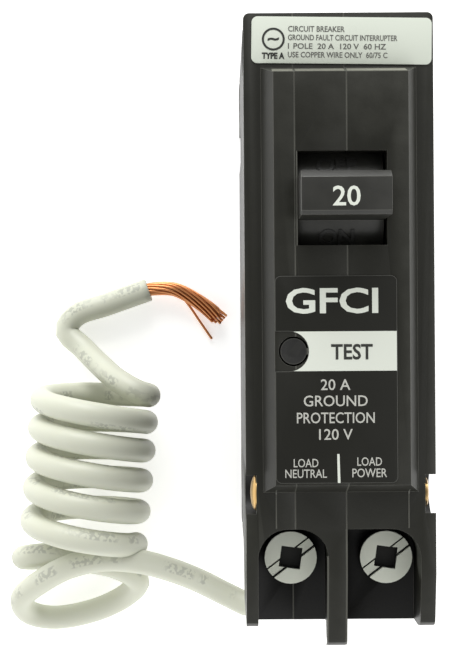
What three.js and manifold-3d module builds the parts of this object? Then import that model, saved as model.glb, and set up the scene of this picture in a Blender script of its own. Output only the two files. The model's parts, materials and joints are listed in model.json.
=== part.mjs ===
// Single-pole plug-on ground-fault breaker, lying on its back.
// Millimetres. +Z points out of the front, +Y towards the line (bus) end, +X to the right.
// The origin is on the back plane, in the middle of the case.

import * as THREE from 'three';
import { mergeVertices } from 'three/addons/utils/BufferGeometryUtils.js';
import Module from 'manifold-3d';

const wasm = await Module();
wasm.setup();

// ---------------------------------------------------------------- driving dimensions

const CASE_WIDTH = 25.2;
const CASE_LENGTH = 84.7;
const SHOULDER_HEIGHT = 48.5;
const RAISED_HEIGHT = 3.5;
const WALL = 1.6;
const CORNER_RADIUS = 0.8;
const PARTING_GAP = 0.16;
const LEFT_PARTING_X = -6.05;
const RIGHT_PARTING_X = 0.72;
const SLIDE_CLEARANCE = 0.2;
const SEAT_CLEARANCE = 0.3;

const HALF_WIDTH = CASE_WIDTH / 2;
const LINE_END = CASE_LENGTH / 2;
const BARRIER_END = -CASE_LENGTH / 2;
const BARRIER_OVERHANG = 2.6;
const TERMINAL_END = BARRIER_END + BARRIER_OVERHANG;
const RAISED_TOP = SHOULDER_HEIGHT + RAISED_HEIGHT;

// Load end of the case, seen from the side.
const BEVEL_LENGTH = 7.5;
const BEVEL_DROP = 1.1;
const END_ROUNDING = 2.6;
const TERMINAL_FACE_HEIGHT = 19.4;
const BARRIER_DEPTH = 5;
const SETBACK = 7.75;
const SETBACK_DROP = 6.5;
const RAIL_NOTCH_HEIGHT = 4.5;
const RAIL_NOTCH_DEPTH = 4.5;
const RAIL_LIP = 4;

// Raised front section.
const RAISED_TOP_WIDTH = 17.6;
const RAISED_SIDE_SLOPE = 1.5;
const RAISED_LINE_MARGIN = 8.5;
const RAISED_LINE_SLOPE = 1.2;
const RAISED_LOAD_MARGIN = 22.4;
const RAISED_LOAD_SLOPE = 1.3;

// Mouldings inside.
const WEB_THICKNESS = 1.47;
const WEB_RIGHT = RIGHT_PARTING_X - 0.15;
const WEB_LEFT = WEB_RIGHT - WEB_THICKNESS;
const BOSS_RADIUS = 2.7;

// Terminals.
const TERMINAL_X = 6.5;
const TERMINAL_Y = TERMINAL_END + 9;
const POCKET_DEPTH = 7;
const POCKET_CORNER = 4;
const POCKET_FLOOR_THICKNESS = 1.5;
const SCREW_HEAD_RADIUS = 3.55;
const POCKET_TOP_Y = TERMINAL_Y + SCREW_HEAD_RADIUS + 1;
const LEFT_POCKET = [-TERMINAL_X - SCREW_HEAD_RADIUS - 0.98, -TERMINAL_X + SCREW_HEAD_RADIUS + 1.3];
const RIGHT_POCKET = [TERMINAL_X - SCREW_HEAD_RADIUS - 2.35, TERMINAL_X + SCREW_HEAD_RADIUS + 0.55];
const SCREW_HEAD_HEIGHT = 2.2;
const SCREW_SHANK_RADIUS = 2;
const SCREW_SHANK_LENGTH = 12.4;
const SCREW_SQUARE = 2.9;
const SCREW_SQUARE_DEPTH = 1.7;
const SCREW_SQUARE_ANGLE = THREE.MathUtils.degToRad(-8);
const SCREW_SLOT = 1.1;
const SCREW_SLOT_DEPTH = 0.3;
const SCREW_GROOVE = 0.28;
const SCREW_GROOVE_DEPTH = 0.9;
const SCREW_SLOT_ANGLE = THREE.MathUtils.degToRad(37);
const STRAP_THICKNESS = 1.3;
const STRAP_WIDTH = 8.2;
const CLAMP_THICKNESS = 1.3;
const CLAMP_WIDTH = 7.8;
const CLAMP_FLANGE = 3;
const WIRE_PORT = 7;

// Handle.
const HANDLE_Y = LINE_END - 24.95;
const HANDLE_PIVOT_DEPTH = 11;
const HANDLE_WIDTH = 11.3;
const HANDLE_SLOT_LENGTH = 12.3;
const DRUM_RADIUS = 10.2;
const DRUM_HALF_ANGLE = THREE.MathUtils.degToRad(54);
const GRIP_THICKNESS = 5.6;
const GRIP_REACH = 18.4;
const HANDLE_PIN_RADIUS = 1.3;
const HANDLE_SWING = THREE.MathUtils.degToRad(14);

// Contact arm and its partners.
const ARM_X = 5.5;
const ARM_THICKNESS = 1.8;
const ARM_PIVOT = [9, 33.5];
const ARM_LENGTH = 17.6;
const ARM_DEPTH = 2.4;
const ARM_SWING = HANDLE_SWING * 0.95;
const ARM_PIN_RADIUS = 0.9;
const CONTACT_RADIUS = 1.5;
const CONTACT_HEIGHT = 1.2;
const CONTACT_REACH = 15.8;
const CRADLE_X = 9.45;
const CRADLE_THICKNESS = 1.1;
const CRADLE_PIVOT = [-3, 37];

// Line jaw at the bus end.
const JAW_Y = LINE_END - 12.25;
const JAW_SLOT_WIDTH = 6.2;
const JAW_SLOT_DEPTH = 16;
const JAW_WIDTH = 7;
const JAW_SHEET = 0.8;

// Test button.
const BUTTON_X = -6.35;
const BUTTON_Y = -2.5;
const BUTTON_RADIUS = 1.75;
const BUTTON_FLANGE_RADIUS = 2.6;
const BUTTON_TRAVEL = 1.2;

// Labels.
const LABEL_THICKNESS = 0.15;
const LABEL_CORNER = 0.8;
const FRONT_LABEL_TOP = 7.3;
const FRONT_LABEL_RIGHT = 7.1;
const BUTTON_RELIEF_RADIUS = 2.6;
const RATING_LABEL_TURN = THREE.MathUtils.degToRad(-0.9);

// Fasteners through the three mouldings.
const RIVET_RADIUS = 1.2;
const RIVET_HEAD_RADIUS = 2.45;
const RIVET_HEAD_HEIGHT = 0.8;
const RIVET_RECESS_RADIUS = 3.6;
const RIVET_RECESS_DEPTH = 1.4;

// Neutral pigtail: stranded wire in a soft jacket.
const WIRE_DIAMETER = 3.9;
const CONDUCTOR_DIAMETER = 2.3;
const COIL_MEAN_DIAMETER = 17.2;
const COIL_LENGTH = 20.6;
const COIL_MIDDLE = [-37.4, -23.1];
const COIL_TURN = THREE.MathUtils.degToRad(-4);

// ---------------------------------------------------------------- shapes and solids

function solid(geometry) {
  const plain = geometry.index ? geometry.toNonIndexed() : geometry.clone();
  plain.deleteAttribute('normal');
  plain.deleteAttribute('uv');
  const merged = mergeVertices(plain, 1e-5);
  return new wasm.Manifold(new wasm.Mesh({
    numProp: 3,
    vertProperties: new Float32Array(merged.attributes.position.array),
    triVerts: new Uint32Array(merged.index.array),
  }));
}

function geometryOf(manifold) {
  const mesh = manifold.getMesh();
  const geometry = new THREE.BufferGeometry();
  geometry.setAttribute('position', new THREE.BufferAttribute(mesh.vertProperties, 3));
  geometry.setIndex(new THREE.BufferAttribute(mesh.triVerts, 1));
  geometry.computeVertexNormals();
  return geometry;
}

function joinAll(solids) {
  return solids.reduce((sum, next) => sum.add(next));
}

function cutAll(body, cutters) {
  return cutters.reduce((rest, cutter) => rest.subtract(cutter), body);
}

function box([x0, x1], [y0, y1], [z0, z1]) {
  const geometry = new THREE.BoxGeometry(x1 - x0, y1 - y0, z1 - z0);
  geometry.translate((x0 + x1) / 2, (y0 + y1) / 2, (z0 + z1) / 2);
  return solid(geometry);
}

function centred(middle, size) {
  return [middle - size / 2, middle + size / 2];
}

function outlineShape(points) {
  return new THREE.Shape(points.map(([a, b]) => new THREE.Vector2(a, b)));
}

function extruded(shape, length, arcSteps = 8) {
  return new THREE.ExtrudeGeometry(shape, { depth: length, bevelEnabled: false, curveSegments: arcSteps });
}

// A side outline of [y, z] points, extruded along X.
function prismAlongX(points, [x0, x1]) {
  const geometry = extruded(outlineShape(points), x1 - x0);
  const basis = new THREE.Matrix4().makeBasis(
    new THREE.Vector3(0, 1, 0),
    new THREE.Vector3(0, 0, 1),
    new THREE.Vector3(1, 0, 0),
  );
  geometry.applyMatrix4(basis);
  geometry.translate(x0, 0, 0);
  return solid(geometry);
}

// An end outline of [x, z] points, extruded along Y.
function prismAlongY(points, [y0, y1]) {
  const geometry = extruded(outlineShape(points), y1 - y0);
  geometry.rotateX(Math.PI / 2);
  geometry.translate(0, y1, 0);
  return solid(geometry);
}

function prismAlongZ(shape, [z0, z1]) {
  const geometry = extruded(shape, z1 - z0);
  geometry.translate(0, 0, z0);
  return solid(geometry);
}

function roundedRectangle([x0, x1], [y0, y1], radius) {
  const shape = new THREE.Shape();
  shape.moveTo(x0 + radius, y0);
  shape.lineTo(x1 - radius, y0);
  shape.absarc(x1 - radius, y0 + radius, radius, -Math.PI / 2, 0, false);
  shape.lineTo(x1, y1 - radius);
  shape.absarc(x1 - radius, y1 - radius, radius, 0, Math.PI / 2, false);
  shape.lineTo(x0 + radius, y1);
  shape.absarc(x0 + radius, y1 - radius, radius, Math.PI / 2, Math.PI, false);
  shape.lineTo(x0, y0 + radius);
  shape.absarc(x0 + radius, y0 + radius, radius, Math.PI, Math.PI * 1.5, false);
  return shape;
}

// A round bar along X, Y or Z between two stations, centred on the other two coordinates.
function bar(axis, [a, b], radius, [start, end], sides = 20) {
  const geometry = new THREE.CylinderGeometry(radius, radius, end - start, sides);
  geometry.translate(0, (start + end) / 2, 0);
  if (axis === 'x') {
    geometry.rotateZ(-Math.PI / 2);
    geometry.translate(0, a, b);
  } else if (axis === 'y') {
    geometry.translate(a, 0, b);
  } else {
    geometry.rotateX(Math.PI / 2);
    geometry.translate(a, b, 0);
  }
  return solid(geometry);
}

function ring(axis, at, outer, inner, span, sides = 24) {
  const [start, end] = span;
  const bore = bar(axis, at, inner, [start - 1, end + 1], sides);
  return bar(axis, at, outer, span, sides).subtract(bore);
}

function arcPoints(radius, from, to, steps) {
  const points = [];
  for (let i = 0; i <= steps; i += 1) {
    const angle = from + ((to - from) * i) / steps;
    points.push([radius * Math.sin(angle), radius * Math.cos(angle)]);
  }
  return points;
}

function shifted(points, [dy, dz]) {
  return points.map(([y, z]) => [y + dy, z + dz]);
}

const object = new THREE.Group();

function addPiece(name, body, finish) {
  const material = new THREE.MeshStandardMaterial(finish);
  const geometry = body instanceof THREE.BufferGeometry ? body : geometryOf(body);
  const mesh = new THREE.Mesh(geometry, material);
  mesh.name = name;
  object.add(mesh);
}

const PHENOLIC = { color: 0x3a3a35, roughness: 0.55, metalness: 0 };
const HANDLE_BLACK = { color: 0x2c2c2a, roughness: 0.45, metalness: 0 };
const COPPER = { color: 0xb87347, roughness: 0.35, metalness: 1 };
const BRASS = { color: 0xc8a05a, roughness: 0.35, metalness: 1 };
const STEEL = { color: 0xbec3b4, roughness: 0.35, metalness: 1 };
const SILVER = { color: 0xd0d0cc, roughness: 0.3, metalness: 1 };
const FIBRE = { color: 0x8a6f58, roughness: 0.8, metalness: 0 };

// ---------------------------------------------------------------- case

const bevelStartY = TERMINAL_END + BEVEL_LENGTH;
const bevelEndZ = SHOULDER_HEIGHT - BEVEL_DROP;
const terminalFaceBottom = bevelEndZ - TERMINAL_FACE_HEIGHT;
const barrierUnderside = bevelEndZ - BARRIER_DEPTH;
const lowerEndY = TERMINAL_END + SETBACK;
const setbackZ = terminalFaceBottom - SETBACK_DROP;
const notchTop = RAIL_LIP + RAIL_NOTCH_HEIGHT;
const notchY = lowerEndY + RAIL_NOTCH_DEPTH;
const pocketFloor = SHOULDER_HEIGHT - POCKET_DEPTH;
const chamberTop = pocketFloor - POCKET_FLOOR_THICKNESS;
const ceiling = SHOULDER_HEIGHT - WALL;
const handlePivot = [HANDLE_Y, RAISED_TOP - HANDLE_PIVOT_DEPTH];
const jawSlot = centred(JAW_Y, JAW_SLOT_WIDTH);
const leftCavity = [-HALF_WIDTH + WALL, WEB_LEFT];
const rightCavity = [WEB_RIGHT, HALF_WIDTH - WALL];
const raisedLoadY = BARRIER_END + RAISED_LOAD_MARGIN;
const raisedLineY = LINE_END - RAISED_LINE_MARGIN;
const drumPocketRadius = DRUM_RADIUS + 0.35;
const bearingInner = HANDLE_WIDTH / 2 + 0.5;
const bearingOuter = bearingInner + 1.45;
const handlePinEnd = bearingOuter - SEAT_CLEARANCE;
const pigtailExit = [-8.4, 12.2];
const bushingRadius = WIRE_DIAMETER / 2 + 1.2;

const RIVETS = [
  [BARRIER_END + 20.8, SHOULDER_HEIGHT - 2.5],
  [LINE_END - 3.85, SHOULDER_HEIGHT - 5.5],
  [LINE_END - 3.85, 5.5],
  [lowerEndY + 9.4, 5.5],
];

const cavityOutline = [
  [LINE_END - WALL, WALL],
  [LINE_END - WALL, ceiling],
  [bevelStartY + 12.2, ceiling],
  [bevelStartY + 12.2, chamberTop],
  [TERMINAL_END + WALL, chamberTop],
  [TERMINAL_END + WALL, terminalFaceBottom + WALL / 2],
  [lowerEndY + WALL, setbackZ + WALL / 2],
  [lowerEndY + WALL, notchTop + WALL],
  [notchY + WALL, notchTop + WALL],
  [notchY + WALL, WALL],
];

// The sloped front edge of a wall, rounded down to its load end.
function roundedEnd(endY) {
  const points = [];
  for (let i = 0; i <= 4; i += 1) {
    const angle = (i * Math.PI) / 8;
    points.push([
      endY + END_ROUNDING * 0.5 * (1 - Math.sin(angle)),
      bevelEndZ - END_ROUNDING * (1 - Math.cos(angle)),
    ]);
  }
  return points;
}

function caseEnvelope() {
  const side = prismAlongX([
    [LINE_END, 0],
    [LINE_END, SHOULDER_HEIGHT],
    [bevelStartY, SHOULDER_HEIGHT],
    ...roundedEnd(TERMINAL_END),
    [TERMINAL_END, terminalFaceBottom],
    [lowerEndY, setbackZ],
    [lowerEndY, notchTop],
    [notchY, notchTop],
    [notchY, RAIL_LIP],
    [lowerEndY, RAIL_LIP],
    [lowerEndY, 0],
  ], [-HALF_WIDTH, HALF_WIDTH]);
  const plan = roundedRectangle([-HALF_WIDTH, HALF_WIDTH], [BARRIER_END - 2, LINE_END], CORNER_RADIUS);
  return side.intersect(prismAlongZ(plan, [-1, SHOULDER_HEIGHT + 1]));
}

function raisedFront() {
  const topHalf = RAISED_TOP_WIDTH / 2;
  const sideways = prismAlongX([
    [raisedLoadY - RAISED_LOAD_SLOPE, SHOULDER_HEIGHT],
    [raisedLoadY, RAISED_TOP],
    [raisedLineY, RAISED_TOP],
    [raisedLineY + RAISED_LINE_SLOPE, SHOULDER_HEIGHT],
    [raisedLineY, SHOULDER_HEIGHT - WALL],
    [raisedLoadY, SHOULDER_HEIGHT - WALL],
  ], [-HALF_WIDTH, HALF_WIDTH]);
  const lengthways = prismAlongY([
    [-topHalf - RAISED_SIDE_SLOPE, SHOULDER_HEIGHT - WALL],
    [-topHalf - RAISED_SIDE_SLOPE, SHOULDER_HEIGHT],
    [-topHalf, RAISED_TOP],
    [topHalf, RAISED_TOP],
    [topHalf + RAISED_SIDE_SLOPE, SHOULDER_HEIGHT],
    [topHalf + RAISED_SIDE_SLOPE, SHOULDER_HEIGHT - WALL],
  ], [BARRIER_END, LINE_END]);
  return sideways.intersect(lengthways);
}

function barrier() {
  return prismAlongX([
    ...roundedEnd(BARRIER_END).reverse(),
    [bevelStartY, SHOULDER_HEIGHT],
    [bevelStartY + 4, SHOULDER_HEIGHT],
    [bevelStartY + 4, barrierUnderside],
    [TERMINAL_END, barrierUnderside],
    [BARRIER_END + 0.7, barrierUnderside + 0.9],
  ], [LEFT_POCKET[1], RIGHT_POCKET[0]]);
}

// A pocket over one terminal: open at the load end, with rounded corners at the far end.
function terminalPocket([x0, x1], leftRadius, rightRadius) {
  const shape = new THREE.Shape();
  shape.moveTo(x0, BARRIER_END - 1);
  shape.lineTo(x1, BARRIER_END - 1);
  shape.lineTo(x1, POCKET_TOP_Y - rightRadius);
  if (rightRadius > 0) {
    shape.absarc(x1 - rightRadius, POCKET_TOP_Y - rightRadius, rightRadius, 0, Math.PI / 2, false);
  }
  shape.lineTo(x0 + leftRadius, POCKET_TOP_Y);
  if (leftRadius > 0) {
    shape.absarc(x0 + leftRadius, POCKET_TOP_Y - leftRadius, leftRadius, Math.PI / 2, Math.PI, false);
  }
  return prismAlongZ(shape, [pocketFloor, SHOULDER_HEIGHT + 1]);
}

function cavities() {
  const barrierBlock = box(
    [LEFT_POCKET[1], RIGHT_POCKET[0]],
    [BARRIER_END, notchY],
    [0, SHOULDER_HEIGHT],
  );
  const left = prismAlongX(cavityOutline, leftCavity);
  const right = prismAlongX(cavityOutline, rightCavity);
  return left.add(right).subtract(barrierBlock);
}

function jawBlock() {
  const [slotStart, slotEnd] = jawSlot;
  return box(
    [-HALF_WIDTH + WALL / 2, HALF_WIDTH - WALL / 2],
    [slotStart - WALL, slotEnd + WALL],
    [WALL / 2, JAW_SLOT_DEPTH + WALL],
  );
}

function handleBearings() {
  const [y, z] = handlePivot;
  const spans = [[-bearingOuter, -bearingInner], [bearingInner, bearingOuter]];
  return spans.map((span) => box(span, centred(y, 6), [z - 3, ceiling + WALL / 2]));
}

// Everything that stands inside the case and belongs to the mouldings.
function innerRibs() {
  const inside = [-HALF_WIDTH + WALL / 2, HALF_WIDTH - WALL / 2];
  const underFront = box(inside, [BARRIER_END, LINE_END], [0, ceiling + WALL / 2]);
  const bosses = RIVETS.map((place) => bar('x', place, BOSS_RADIUS, inside).intersect(underFront));
  const armBoss = bar('x', ARM_PIVOT, 1.6, [CRADLE_X - 1.1, rightCavity[1] + WALL / 2]);
  const cradleBoss = bar('x', CRADLE_PIVOT, 1.8, [CRADLE_X + 0.85, rightCavity[1] + WALL / 2]);
  return [jawBlock(), ...handleBearings(), ...bosses, armBoss, cradleBoss];
}

function caseCuts() {
  const through = [-HALF_WIDTH - 1, HALF_WIDTH + 1];
  const handleHalf = HANDLE_WIDTH / 2 + SEAT_CLEARANCE;
  const screwHoles = [-TERMINAL_X, TERMINAL_X].map(
    (x) => bar('z', [x, TERMINAL_Y], SCREW_SHANK_RADIUS + SEAT_CLEARANCE, [chamberTop - 1, pocketFloor + 1]),
  );
  const ports = [-TERMINAL_X, TERMINAL_X].map((x) => box(
    centred(x - Math.sign(x) * 0.1, WIRE_PORT),
    [TERMINAL_END - 1, TERMINAL_END + WALL + 1],
    [chamberTop - 9, chamberTop - 2],
  ));
  const rivetHoles = RIVETS.map((place) => bar('x', place, RIVET_RADIUS + 0.15, through));
  const rivetRecesses = RIVETS.flatMap((place) => [
    bar('x', place, RIVET_RECESS_RADIUS, [-HALF_WIDTH - 1, -HALF_WIDTH + RIVET_RECESS_DEPTH], 28),
    bar('x', place, RIVET_RECESS_RADIUS, [HALF_WIDTH - RIVET_RECESS_DEPTH, HALF_WIDTH + 1], 28),
  ]);
  return [
    terminalPocket(LEFT_POCKET, POCKET_CORNER, POCKET_CORNER),
    terminalPocket(RIGHT_POCKET, 0, POCKET_CORNER),
    box(through, jawSlot, [-1, JAW_SLOT_DEPTH]),
    box(centred(ARM_X, 3.8), centred(JAW_Y, 2), [JAW_SLOT_DEPTH - 1, JAW_SLOT_DEPTH + WALL + 1]),
    box([-handleHalf, handleHalf], centred(HANDLE_Y, HANDLE_SLOT_LENGTH), [ceiling - 1, RAISED_TOP + 1]),
    bar('x', handlePivot, drumPocketRadius, [-handleHalf, handleHalf], 48),
    bar('x', handlePivot, HANDLE_PIN_RADIUS + 0.15, [-handlePinEnd - 0.15, handlePinEnd + 0.15]),
    bar('x', ARM_PIVOT, ARM_PIN_RADIUS + 0.1, [ARM_X, rightCavity[1] - 0.3], 12),
    bar('x', CRADLE_PIVOT, ARM_PIN_RADIUS + 0.1, [ARM_X, rightCavity[1] - 0.3], 12),
    bar('z', [BUTTON_X, BUTTON_Y], BUTTON_RADIUS + SLIDE_CLEARANCE, [ceiling - 1, RAISED_TOP + 1], 28),
    bar('x', TOROID_AT, 2.4, [WEB_LEFT - 1, WEB_RIGHT + 1]),
    box([WEB_LEFT - 1, WEB_RIGHT + 1], centred(LEVER_Y, 5.5), centred(SOLENOID_AXIS[1], 2.8)),
    bar('z', [LEVER_X, LEVER_Y], 0.65, centred(SOLENOID_AXIS[1], 5.2), 12),
    bar('z', CALIBRATION_AT, 1.3, [-1, WALL + 1], 16),
    bar('z', CALIBRATION_AT, 2.3, [-1, 0.9], 16),
    bar('y', pigtailExit, bushingRadius + SEAT_CLEARANCE, [lowerEndY - 1, lowerEndY + WALL + 1], 24),
    ...screwHoles,
    ...ports,
    ...rivetHoles,
    ...rivetRecesses,
  ];
}

// ---------------------------------------------------------------- places inside the case

const boardFace = leftCavity[0] + 1.6;
const TOROID_AT = [-8, 27];
const SOLENOID_AXIS = [boardFace + 4.2, 12];
const LEVER_X = WEB_LEFT + WEB_THICKNESS / 2;
const LEVER_Y = -5.7;
const CALIBRATION_AT = [6, -18.3];

function buildCase() {
  const shell = caseEnvelope().add(raisedFront()).add(barrier()).subtract(cavities());
  const whole = cutAll(joinAll([shell, ...innerRibs()]), caseCuts());
  const tall = [-1, RAISED_TOP + 1];
  const long = [BARRIER_END - 1, LINE_END + 1];
  const half = PARTING_GAP / 2;
  const slabs = {
    left_cover: [-HALF_WIDTH - 1, LEFT_PARTING_X - half],
    center_housing: [LEFT_PARTING_X + half, RIGHT_PARTING_X - half],
    right_cover: [RIGHT_PARTING_X + half, HALF_WIDTH + 1],
  };
  for (const [name, span] of Object.entries(slabs)) {
    addPiece(name, whole.intersect(box(span, long, tall)), PHENOLIC);
  }
}

function buildRivets() {
  const seat = HALF_WIDTH - RIVET_RECESS_DEPTH;
  RIVETS.forEach(([y, z], index) => {
    const profile = [
      [0, -seat - RIVET_HEAD_HEIGHT],
      [RIVET_HEAD_RADIUS * 0.55, -seat - RIVET_HEAD_HEIGHT * 0.85],
      [RIVET_HEAD_RADIUS, -seat - 0.2],
      [RIVET_HEAD_RADIUS, -seat],
      [RIVET_RADIUS, -seat],
      [RIVET_RADIUS, seat],
      [RIVET_RADIUS * 1.6, seat],
      [RIVET_RADIUS * 1.5, seat + RIVET_HEAD_HEIGHT * 0.75],
      [RIVET_RADIUS * 0.6, seat + RIVET_HEAD_HEIGHT * 0.75],
      [RIVET_RADIUS * 0.5, seat - 1],
      [0, seat - 1],
    ].map(([radius, x]) => new THREE.Vector2(radius, x));
    const geometry = new THREE.LatheGeometry(profile, 20);
    geometry.rotateZ(-Math.PI / 2);
    geometry.translate(0, y, z);
    addPiece(`rivet_${index + 1}`, solid(geometry), BRASS);
  });
}

function buildLabels() {
  const raisedFoot = raisedLineY + RAISED_LINE_SLOPE;
  const labelWidth = CASE_WIDTH - 1.3;
  const labelLength = LINE_END - raisedFoot - 1.1;
  const rating = roundedRectangle(centred(0, labelWidth), centred(0, labelLength), LABEL_CORNER);
  const paper = extruded(rating, LABEL_THICKNESS);
  paper.rotateZ(RATING_LABEL_TURN);
  paper.translate(0.45, (LINE_END + raisedFoot) / 2 - 0.08, SHOULDER_HEIGHT);
  addPiece('rating_label', solid(paper), { color: 0xdee4d7, roughness: 0.5, metalness: 0 });

  const across = [-RAISED_TOP_WIDTH / 2 + 0.05, FRONT_LABEL_RIGHT];
  const front = roundedRectangle(across, [raisedLoadY + 0.3, FRONT_LABEL_TOP], LABEL_CORNER);
  const reliefX = BUTTON_X - 0.65;
  const sheet = prismAlongZ(front, [RAISED_TOP, RAISED_TOP + LABEL_THICKNESS]);
  const through = [RAISED_TOP - 1, RAISED_TOP + 1];
  const cut = bar('z', [reliefX, BUTTON_Y], BUTTON_RELIEF_RADIUS, through, 40)
    .add(box([-HALF_WIDTH, reliefX], centred(BUTTON_Y, 2 * BUTTON_RELIEF_RADIUS), through));
  addPiece('front_label', sheet.subtract(cut), { color: 0x32322d, roughness: 0.4, metalness: 0 });
}

// ---------------------------------------------------------------- handle

function buildHandle() {
  const width = [-HANDLE_WIDTH / 2, HANDLE_WIDTH / 2];
  const half = GRIP_THICKNESS / 2;
  const drum = [[0, -1], ...arcPoints(DRUM_RADIUS, DRUM_HALF_ANGLE, -DRUM_HALF_ANGLE, 20)];
  const grip = [
    [-half, 6],
    [half, 6],
    [half, GRIP_REACH - 1.3],
    [half - 0.9, GRIP_REACH],
    [-half + 0.5, GRIP_REACH],
    [-half, GRIP_REACH - 0.5],
  ];
  const crank = [[-1.6, 0], [-1.2, -4.6], [1.2, -4.6], [1.6, 0]];
  const body = joinAll([
    prismAlongX(shifted(drum, handlePivot), width),
    prismAlongX(shifted(grip, handlePivot), width),
    prismAlongX(shifted(crank, handlePivot), [2.6, 3.8]),
    bar('x', handlePivot, 2.9, width, 24),
  ]);
  const bore = bar('x', handlePivot, HANDLE_PIN_RADIUS + SLIDE_CLEARANCE, [-HANDLE_WIDTH, HANDLE_WIDTH]);
  addPiece('handle', body.subtract(bore), HANDLE_BLACK);
  addPiece('handle_pin', bar('x', handlePivot, HANDLE_PIN_RADIUS, [-handlePinEnd, handlePinEnd]), STEEL);
}

// ---------------------------------------------------------------- test button

function buildTestButton() {
  const at = [BUTTON_X, BUTTON_Y];
  const flangeTop = ceiling - 0.4;
  const flangeBottom = flangeTop - 1.2;
  const leafTop = flangeBottom - 4.5;
  const stem = bar('z', at, BUTTON_RADIUS, [flangeTop - 0.5, RAISED_TOP - 0.3], 28);
  const flange = bar('z', at, BUTTON_FLANGE_RADIUS, [flangeBottom, flangeTop], 28);
  addPiece('test_button', stem.add(flange), { color: 0x2e2e2b, roughness: 0.5, metalness: 0 });
  addPiece('test_spring', bar('z', at, 1.5, [leafTop + 0.1, flangeBottom - 0.1], 16), STEEL);
  const leaf = box([boardFace + 0.5, BUTTON_X + 1.8], centred(BUTTON_Y, 4), [leafTop - 0.5, leafTop]);
  const leg = box([boardFace + 0.3, boardFace + 0.9], centred(BUTTON_Y, 4), [leafTop - 4, leafTop]);
  addPiece('test_contact', leaf.add(leg), BRASS);
}

// ---------------------------------------------------------------- line jaw and contacts

function armPoint([y, z], angle) {
  const [pivotY, pivotZ] = ARM_PIVOT;
  return [
    pivotY + y * Math.cos(angle) + z * Math.sin(angle),
    pivotZ - y * Math.sin(angle) + z * Math.cos(angle),
  ];
}

const movingContactBottom = -ARM_DEPTH / 2 - CONTACT_HEIGHT;
const closedContact = armPoint([CONTACT_REACH + CONTACT_RADIUS, movingContactBottom], ARM_SWING);
const stationaryTop = closedContact[1] - 0.15;

function buildLineJaw() {
  const leaf = [[2.7, 15.7], [2.7, 9.5], [1.4, 5.5], [2.4, 1], [2.4 - JAW_SHEET, 1],
    [1.4 - JAW_SHEET, 5.5], [2.7 - JAW_SHEET, 9.8], [2.7 - JAW_SHEET, 15.7 - JAW_SHEET]];
  const mirrored = leaf.map(([y, z]) => [-y, z]).reverse();
  const clip = prismAlongX(shifted([...leaf, ...mirrored], [JAW_Y, 0]), centred(ARM_X, JAW_WIDTH));
  const barTop = stationaryTop - CONTACT_HEIGHT;
  const riser = box(centred(ARM_X, 3), centred(JAW_Y, 1.2), [15.2, barTop]);
  const tongue = box(centred(ARM_X, 3), [ARM_PIVOT[0] + CONTACT_REACH - 2.4, JAW_Y], [barTop - 1.2, barTop]);
  addPiece('line_jaw', joinAll([clip, riser, tongue]), COPPER);
  const contactAt = [ARM_X, ARM_PIVOT[0] + CONTACT_REACH - 0.4];
  addPiece('stationary_contact', bar('z', contactAt, CONTACT_RADIUS, [barTop, stationaryTop], 16), SILVER);
}

function buildContactArm() {
  const span = centred(ARM_X, ARM_THICKNESS);
  const half = ARM_DEPTH / 2;
  const blade = [
    [0, -half - 0.4],
    [CONTACT_REACH - CONTACT_RADIUS - 1, -half],
    [ARM_LENGTH, -half],
    [ARM_LENGTH, half - 0.4],
    [4, half + 0.4],
    [0, half + 0.4],
  ];
  const hub = bar('x', ARM_PIVOT, 2, span, 20);
  const bore = bar('x', ARM_PIVOT, ARM_PIN_RADIUS + SLIDE_CLEARANCE, [span[0] - 1, span[1] + 1], 16);
  const arm = prismAlongX(shifted(blade, ARM_PIVOT), span).add(hub).subtract(bore);
  addPiece('contact_arm', arm, COPPER);

  const contactZ = ARM_PIVOT[1] - half;
  const contactAt = [ARM_X, ARM_PIVOT[0] + CONTACT_REACH];
  const contactSpan = [contactZ - CONTACT_HEIGHT, contactZ - 0.02];
  addPiece('moving_contact', bar('z', contactAt, CONTACT_RADIUS, contactSpan, 16), SILVER);
  const pinSpan = [span[0] - 0.7, rightCavity[1] - 0.6];
  addPiece('arm_pin', bar('x', ARM_PIVOT, ARM_PIN_RADIUS, pinSpan, 12), STEEL);
}

// A plain round body between two points in a plane of constant X: the shape of a coil spring.
function springBetween(x, [y0, z0], [y1, z1], radius) {
  const geometry = new THREE.CylinderGeometry(radius, radius, Math.hypot(y1 - y0, z1 - z0), 12);
  geometry.rotateX(Math.atan2(z1 - z0, y1 - y0));
  geometry.translate(x, (y0 + y1) / 2, (z0 + z1) / 2);
  return solid(geometry);
}

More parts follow.
